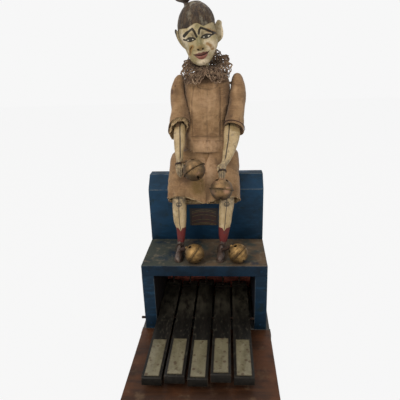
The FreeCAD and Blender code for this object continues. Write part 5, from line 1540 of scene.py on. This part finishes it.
# Crocheted cotton, gone brown: matt thread, with painted shade darkening it towards the neck.
lace_cotton = finish(
    "Crocheted cotton lace, aged",
    "#77614e",
    layers=[
        ("#2b201a", 0.9, [painted("inner", 0, 1)], 0.95),
        ("#46362a", 0.85, [grain(7, 0.42, 0.6)], 0.95),
        ("#ab957c", 0.7, [grain(4, 0.5, 0.68, shift=4)], 0.95),
    ],
    bumps=[grit(0.15, 0.6)],
    roughness=0.95,
)
COLLAR_AT = np.array([4, 89])
COLLAR_NECK = 11
COLLAR_REACH = [(0, 23), (30, 27.5), (90, 28.6), (140, 27), (180, 25)]
COLLAR_RISE = [(0, 291.5), (12, 286.5), (26, 283.5), (50, 285), (90, 299), (140, 311), (180, 315)]
COLLAR_WAVES = 9
LOOP_RADIUS = 2.4
LOOP_PITCH = 5.2
LOOP_ROWS = 4
THREAD = 0.6
SCALLOPS = [(0.02, 16), (0.12, 20), (0.22, 24), (0.32, 26), (0.42, 28), (0.62, 32), (0.8, 36), (0.95, 36)]


def ruff(turn, share, layer):
    """A place on the gathered lace: turn in radians from the front, share from the neck to the edge."""
    away = np.degrees(np.abs((turn + math.pi) % FULL_TURN - math.pi))
    swing = (1.1 + 0.9 * clamp(away / 90)) * share ** 1.2
    wave = swing * np.sin(COLLAR_WAVES * turn + 0.8 + 2.4 * layer)
    reach = COLLAR_NECK + (curve(COLLAR_REACH, away) - COLLAR_NECK) * share * (1 - 0.12 * layer) + 0.4 * wave
    neck = 298.5 + 1 * away / 180
    edge = curve(COLLAR_RISE, away) + 1.5 * np.sin(turn)
    rise = neck + (edge - neck) * share ** 1.5 + 3 * np.sin(math.pi * share) + wave + 2.4 * layer * share
    x = COLLAR_AT[0] + reach * np.sin(turn)
    y = COLLAR_AT[1] + NECK_BACK * (1 - share) - reach * np.cos(turn)
    return joined(x, y, rise)


def crochet_collar():
    """Two gathered layers of linked thread rings, row over row, between a neck cord and an edge cord."""
    routes = []
    cord = np.linspace(0, FULL_TURN, 260)
    bow = np.linspace(0, FULL_TURN, 13)
    for layer in range(2):
        for share, scallops in SCALLOPS:
            edge = share + 0.11 * np.abs(np.sin(cord * scallops / 2 + layer))
            routes.append(ruff(cord, edge, layer))
        for row in range(LOOP_ROWS):
            middle = (row + 0.6) / LOOP_ROWS
            reach = COLLAR_NECK + 18 * middle
            loops = round(FULL_TURN * reach / LOOP_PITCH)
            for loop in range(loops):
                turn = FULL_TURN * (loop + row / 2) / loops + LOOP_RADIUS / reach * np.cos(bow)
                share = middle + LOOP_RADIUS / 19 * np.sin(bow)
                ring = ruff(turn, np.clip(share, 0, 1.06), layer)
                ring[:, 2] += 0.4 * np.cos(2 * bow)
                routes.append(ring)
    obj = threads(routes, THREAD)
    spots = places(obj)
    away = np.hypot(spots[:, 0] - COLLAR_AT[0], spots[:, 1] - COLLAR_AT[1])
    # Painted shade: the lace darkens towards the neck.
    paint(obj, inner=(22.5 - away) / 9)
    return obj


collar = own(crochet_collar(), "lace_net", lace_cotton, "stand", ["lace_collar"])

# ---- label ----------------------------------------------------------------------------------------

# Printed paper under old varnish, rubbed: plain gold rules and a red band, nearly black with age.
label_print = finish(
    "Printed paper label under dark varnish",
    "#1b1411",
    layers=[
        ("#3b211b", 0.9, [painted("band", 0.2, 0.8), grain(4, 0.3, 0.5)], 0.5),
        ("#57482f", 0.9, [painted("rule", 0.2, 0.8), grain(3, 0.3, 0.5)], 0.5),
        ("#1b2733", 0.5, [grain(6, 0.54, 0.66, shift=3)], 0.5),
    ],
    bumps=[grit(0.08, 2)],
    roughness=0.5,
)


# The heights of the gold rules from the label's middle, their width, and half the printed width.
RULES = (9.6, 7.6, 3.2, -3.4, -8.0, -9.8)
RULE_WIDTH, PRINT_HALF = 0.65, 15.5


def print_label():
    """A paper label on the front panel, with arched rules over a band."""
    low, high = np.array(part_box("front_label")) / MM - START
    middle = (low + high) / 2

    def paper(turn, share):
        across = turn / FULL_TURN
        x = low[0] + (high[0] - low[0]) * across
        z = low[2] + (high[2] - low[2]) * share
        curl = 0.5 * clamp(np.abs(across - 0.5) * 2 - 0.9) * clamp(np.abs(share - 0.5) * 2 - 0.85) * 40
        return joined(x, high[1] - 0.3 - curl * 0.5, z)

    obj = skin(110, 72, paper, wall=0.25)
    spots = places(obj)
    arch = 0.013 * (spots[:, 0] - middle[0]) ** 2
    rise = spots[:, 2] - middle[2] + arch
    rule = sum(bump(rise, at, RULE_WIDTH) for at in RULES)
    band = (np.abs(rise) < 2.6) + bump(rise, 5.8, 1.2) + bump(rise, -6, 1.2)
    inset = (np.abs(spots[:, 0] - middle[0]) < PRINT_HALF) * 1.0
    paint(obj, rule=rule * inset, band=band * inset)
    return obj


own(print_label(), "label_printed", label_print, "stand", ["front_label"])

# ---- stage ----------------------------------------------------------------------------------------

PALE = "#f7f7f7"
LAMP = "#fff5e8"
TARGET = (0, 0, 0.2)
# Each lamp's place, its size in metres and its power in watts.
LAMPS = {
    "key light": ((-0.9, -1.1, 1.3), 0.9, 19),
    "fill light": ((1.2, -0.9, 0.7), 1.2, 6),
    "top light": ((0.1, 0.3, 1.5), 1.0, 6),
}
WORLD_LIGHT, FLOOR_GLOW = 0.42, 0.98
FLOOR_SIZE, FLOOR_DROP = 6, 0.0002
CAMERA_AT = (0.0289, -0.4073, 0.317)
YAW, PITCH, ROLL = 4.32, 19.04, -1.85
FOCAL = 36


def area_light(name, place, size, power):
    """A soft square lamp that faces the figure."""
    data = bpy.data.lights.new(name, "AREA")
    data.size = size
    data.energy = power
    data.color = linear(LAMP)[:3]
    obj = bpy.data.objects.new(name, data)
    obj.location = place
    obj.rotation_euler = (Vector(TARGET) - Vector(place)).to_track_quat("-Z", "Y").to_euler()
    bpy.context.scene.collection.objects.link(obj)


world = bpy.data.worlds.new("Pale studio")
bpy.context.scene.world = world
world.use_nodes = True
tree = world.node_tree
sky = tree.nodes["Background"]
seen = add(tree, "LightPath", out="Is Camera Ray")
for ray in ("Is Glossy Ray", "Is Transmission Ray"):
    seen = add(tree, "Math", {0: seen, 1: add(tree, "LightPath", out=ray)}, operation="MAXIMUM")
strength = add(tree, "Mix", {0: seen, 2: WORLD_LIGHT, 3: 1.0})
sky.inputs["Color"].default_value = linear(PALE)
tree.links.new(strength, sky.inputs["Strength"])

bpy.ops.object.select_all(action="DESELECT")
bpy.ops.mesh.primitive_plane_add(size=FLOOR_SIZE, location=(0, 0, -FLOOR_DROP))
floor = bpy.context.object
floor.name = "floor"
paper = bpy.data.materials.new("Pale paper floor")
paper.use_nodes = True
tree = paper.node_tree
matte = tree.nodes["Principled BSDF"]
matte.inputs["Base Color"].default_value = linear(PALE)
matte.inputs["Roughness"].default_value = 1
glow = add(tree, "Emission", {"Color": linear(PALE), "Strength": 1})
seen = add(tree, "LightPath", out="Is Camera Ray")
share = add(tree, "Math", {0: seen, 1: FLOOR_GLOW}, operation="MULTIPLY")
both = add(tree, "MixShader", {0: share, 1: matte.outputs[0], 2: glow})
tree.links.new(both, tree.nodes["Material Output"].inputs["Surface"])
floor.data.materials.append(paper)

for name, (place, size, power) in LAMPS.items():
    area_light(name, place, size, power)

# The camera looks down at the keys, turned and rolled a little.
lens = bpy.data.cameras.new("camera")
lens.sensor_width = FOCAL
lens.lens = FOCAL
camera = bpy.data.objects.new("camera", lens)
turned = Matrix.Rotation(math.radians(YAW), 4, "Z")
tipped = Matrix.Rotation(math.radians(90 - PITCH), 4, "X")
rolled = Matrix.Rotation(math.radians(ROLL), 4, "Z")
camera.matrix_world = Matrix.Translation(CAMERA_AT) @ turned @ tipped @ rolled
bpy.context.scene.collection.objects.link(camera)
bpy.context.scene.camera = camera
bpy.context.scene.view_settings.view_transform = "Standard"
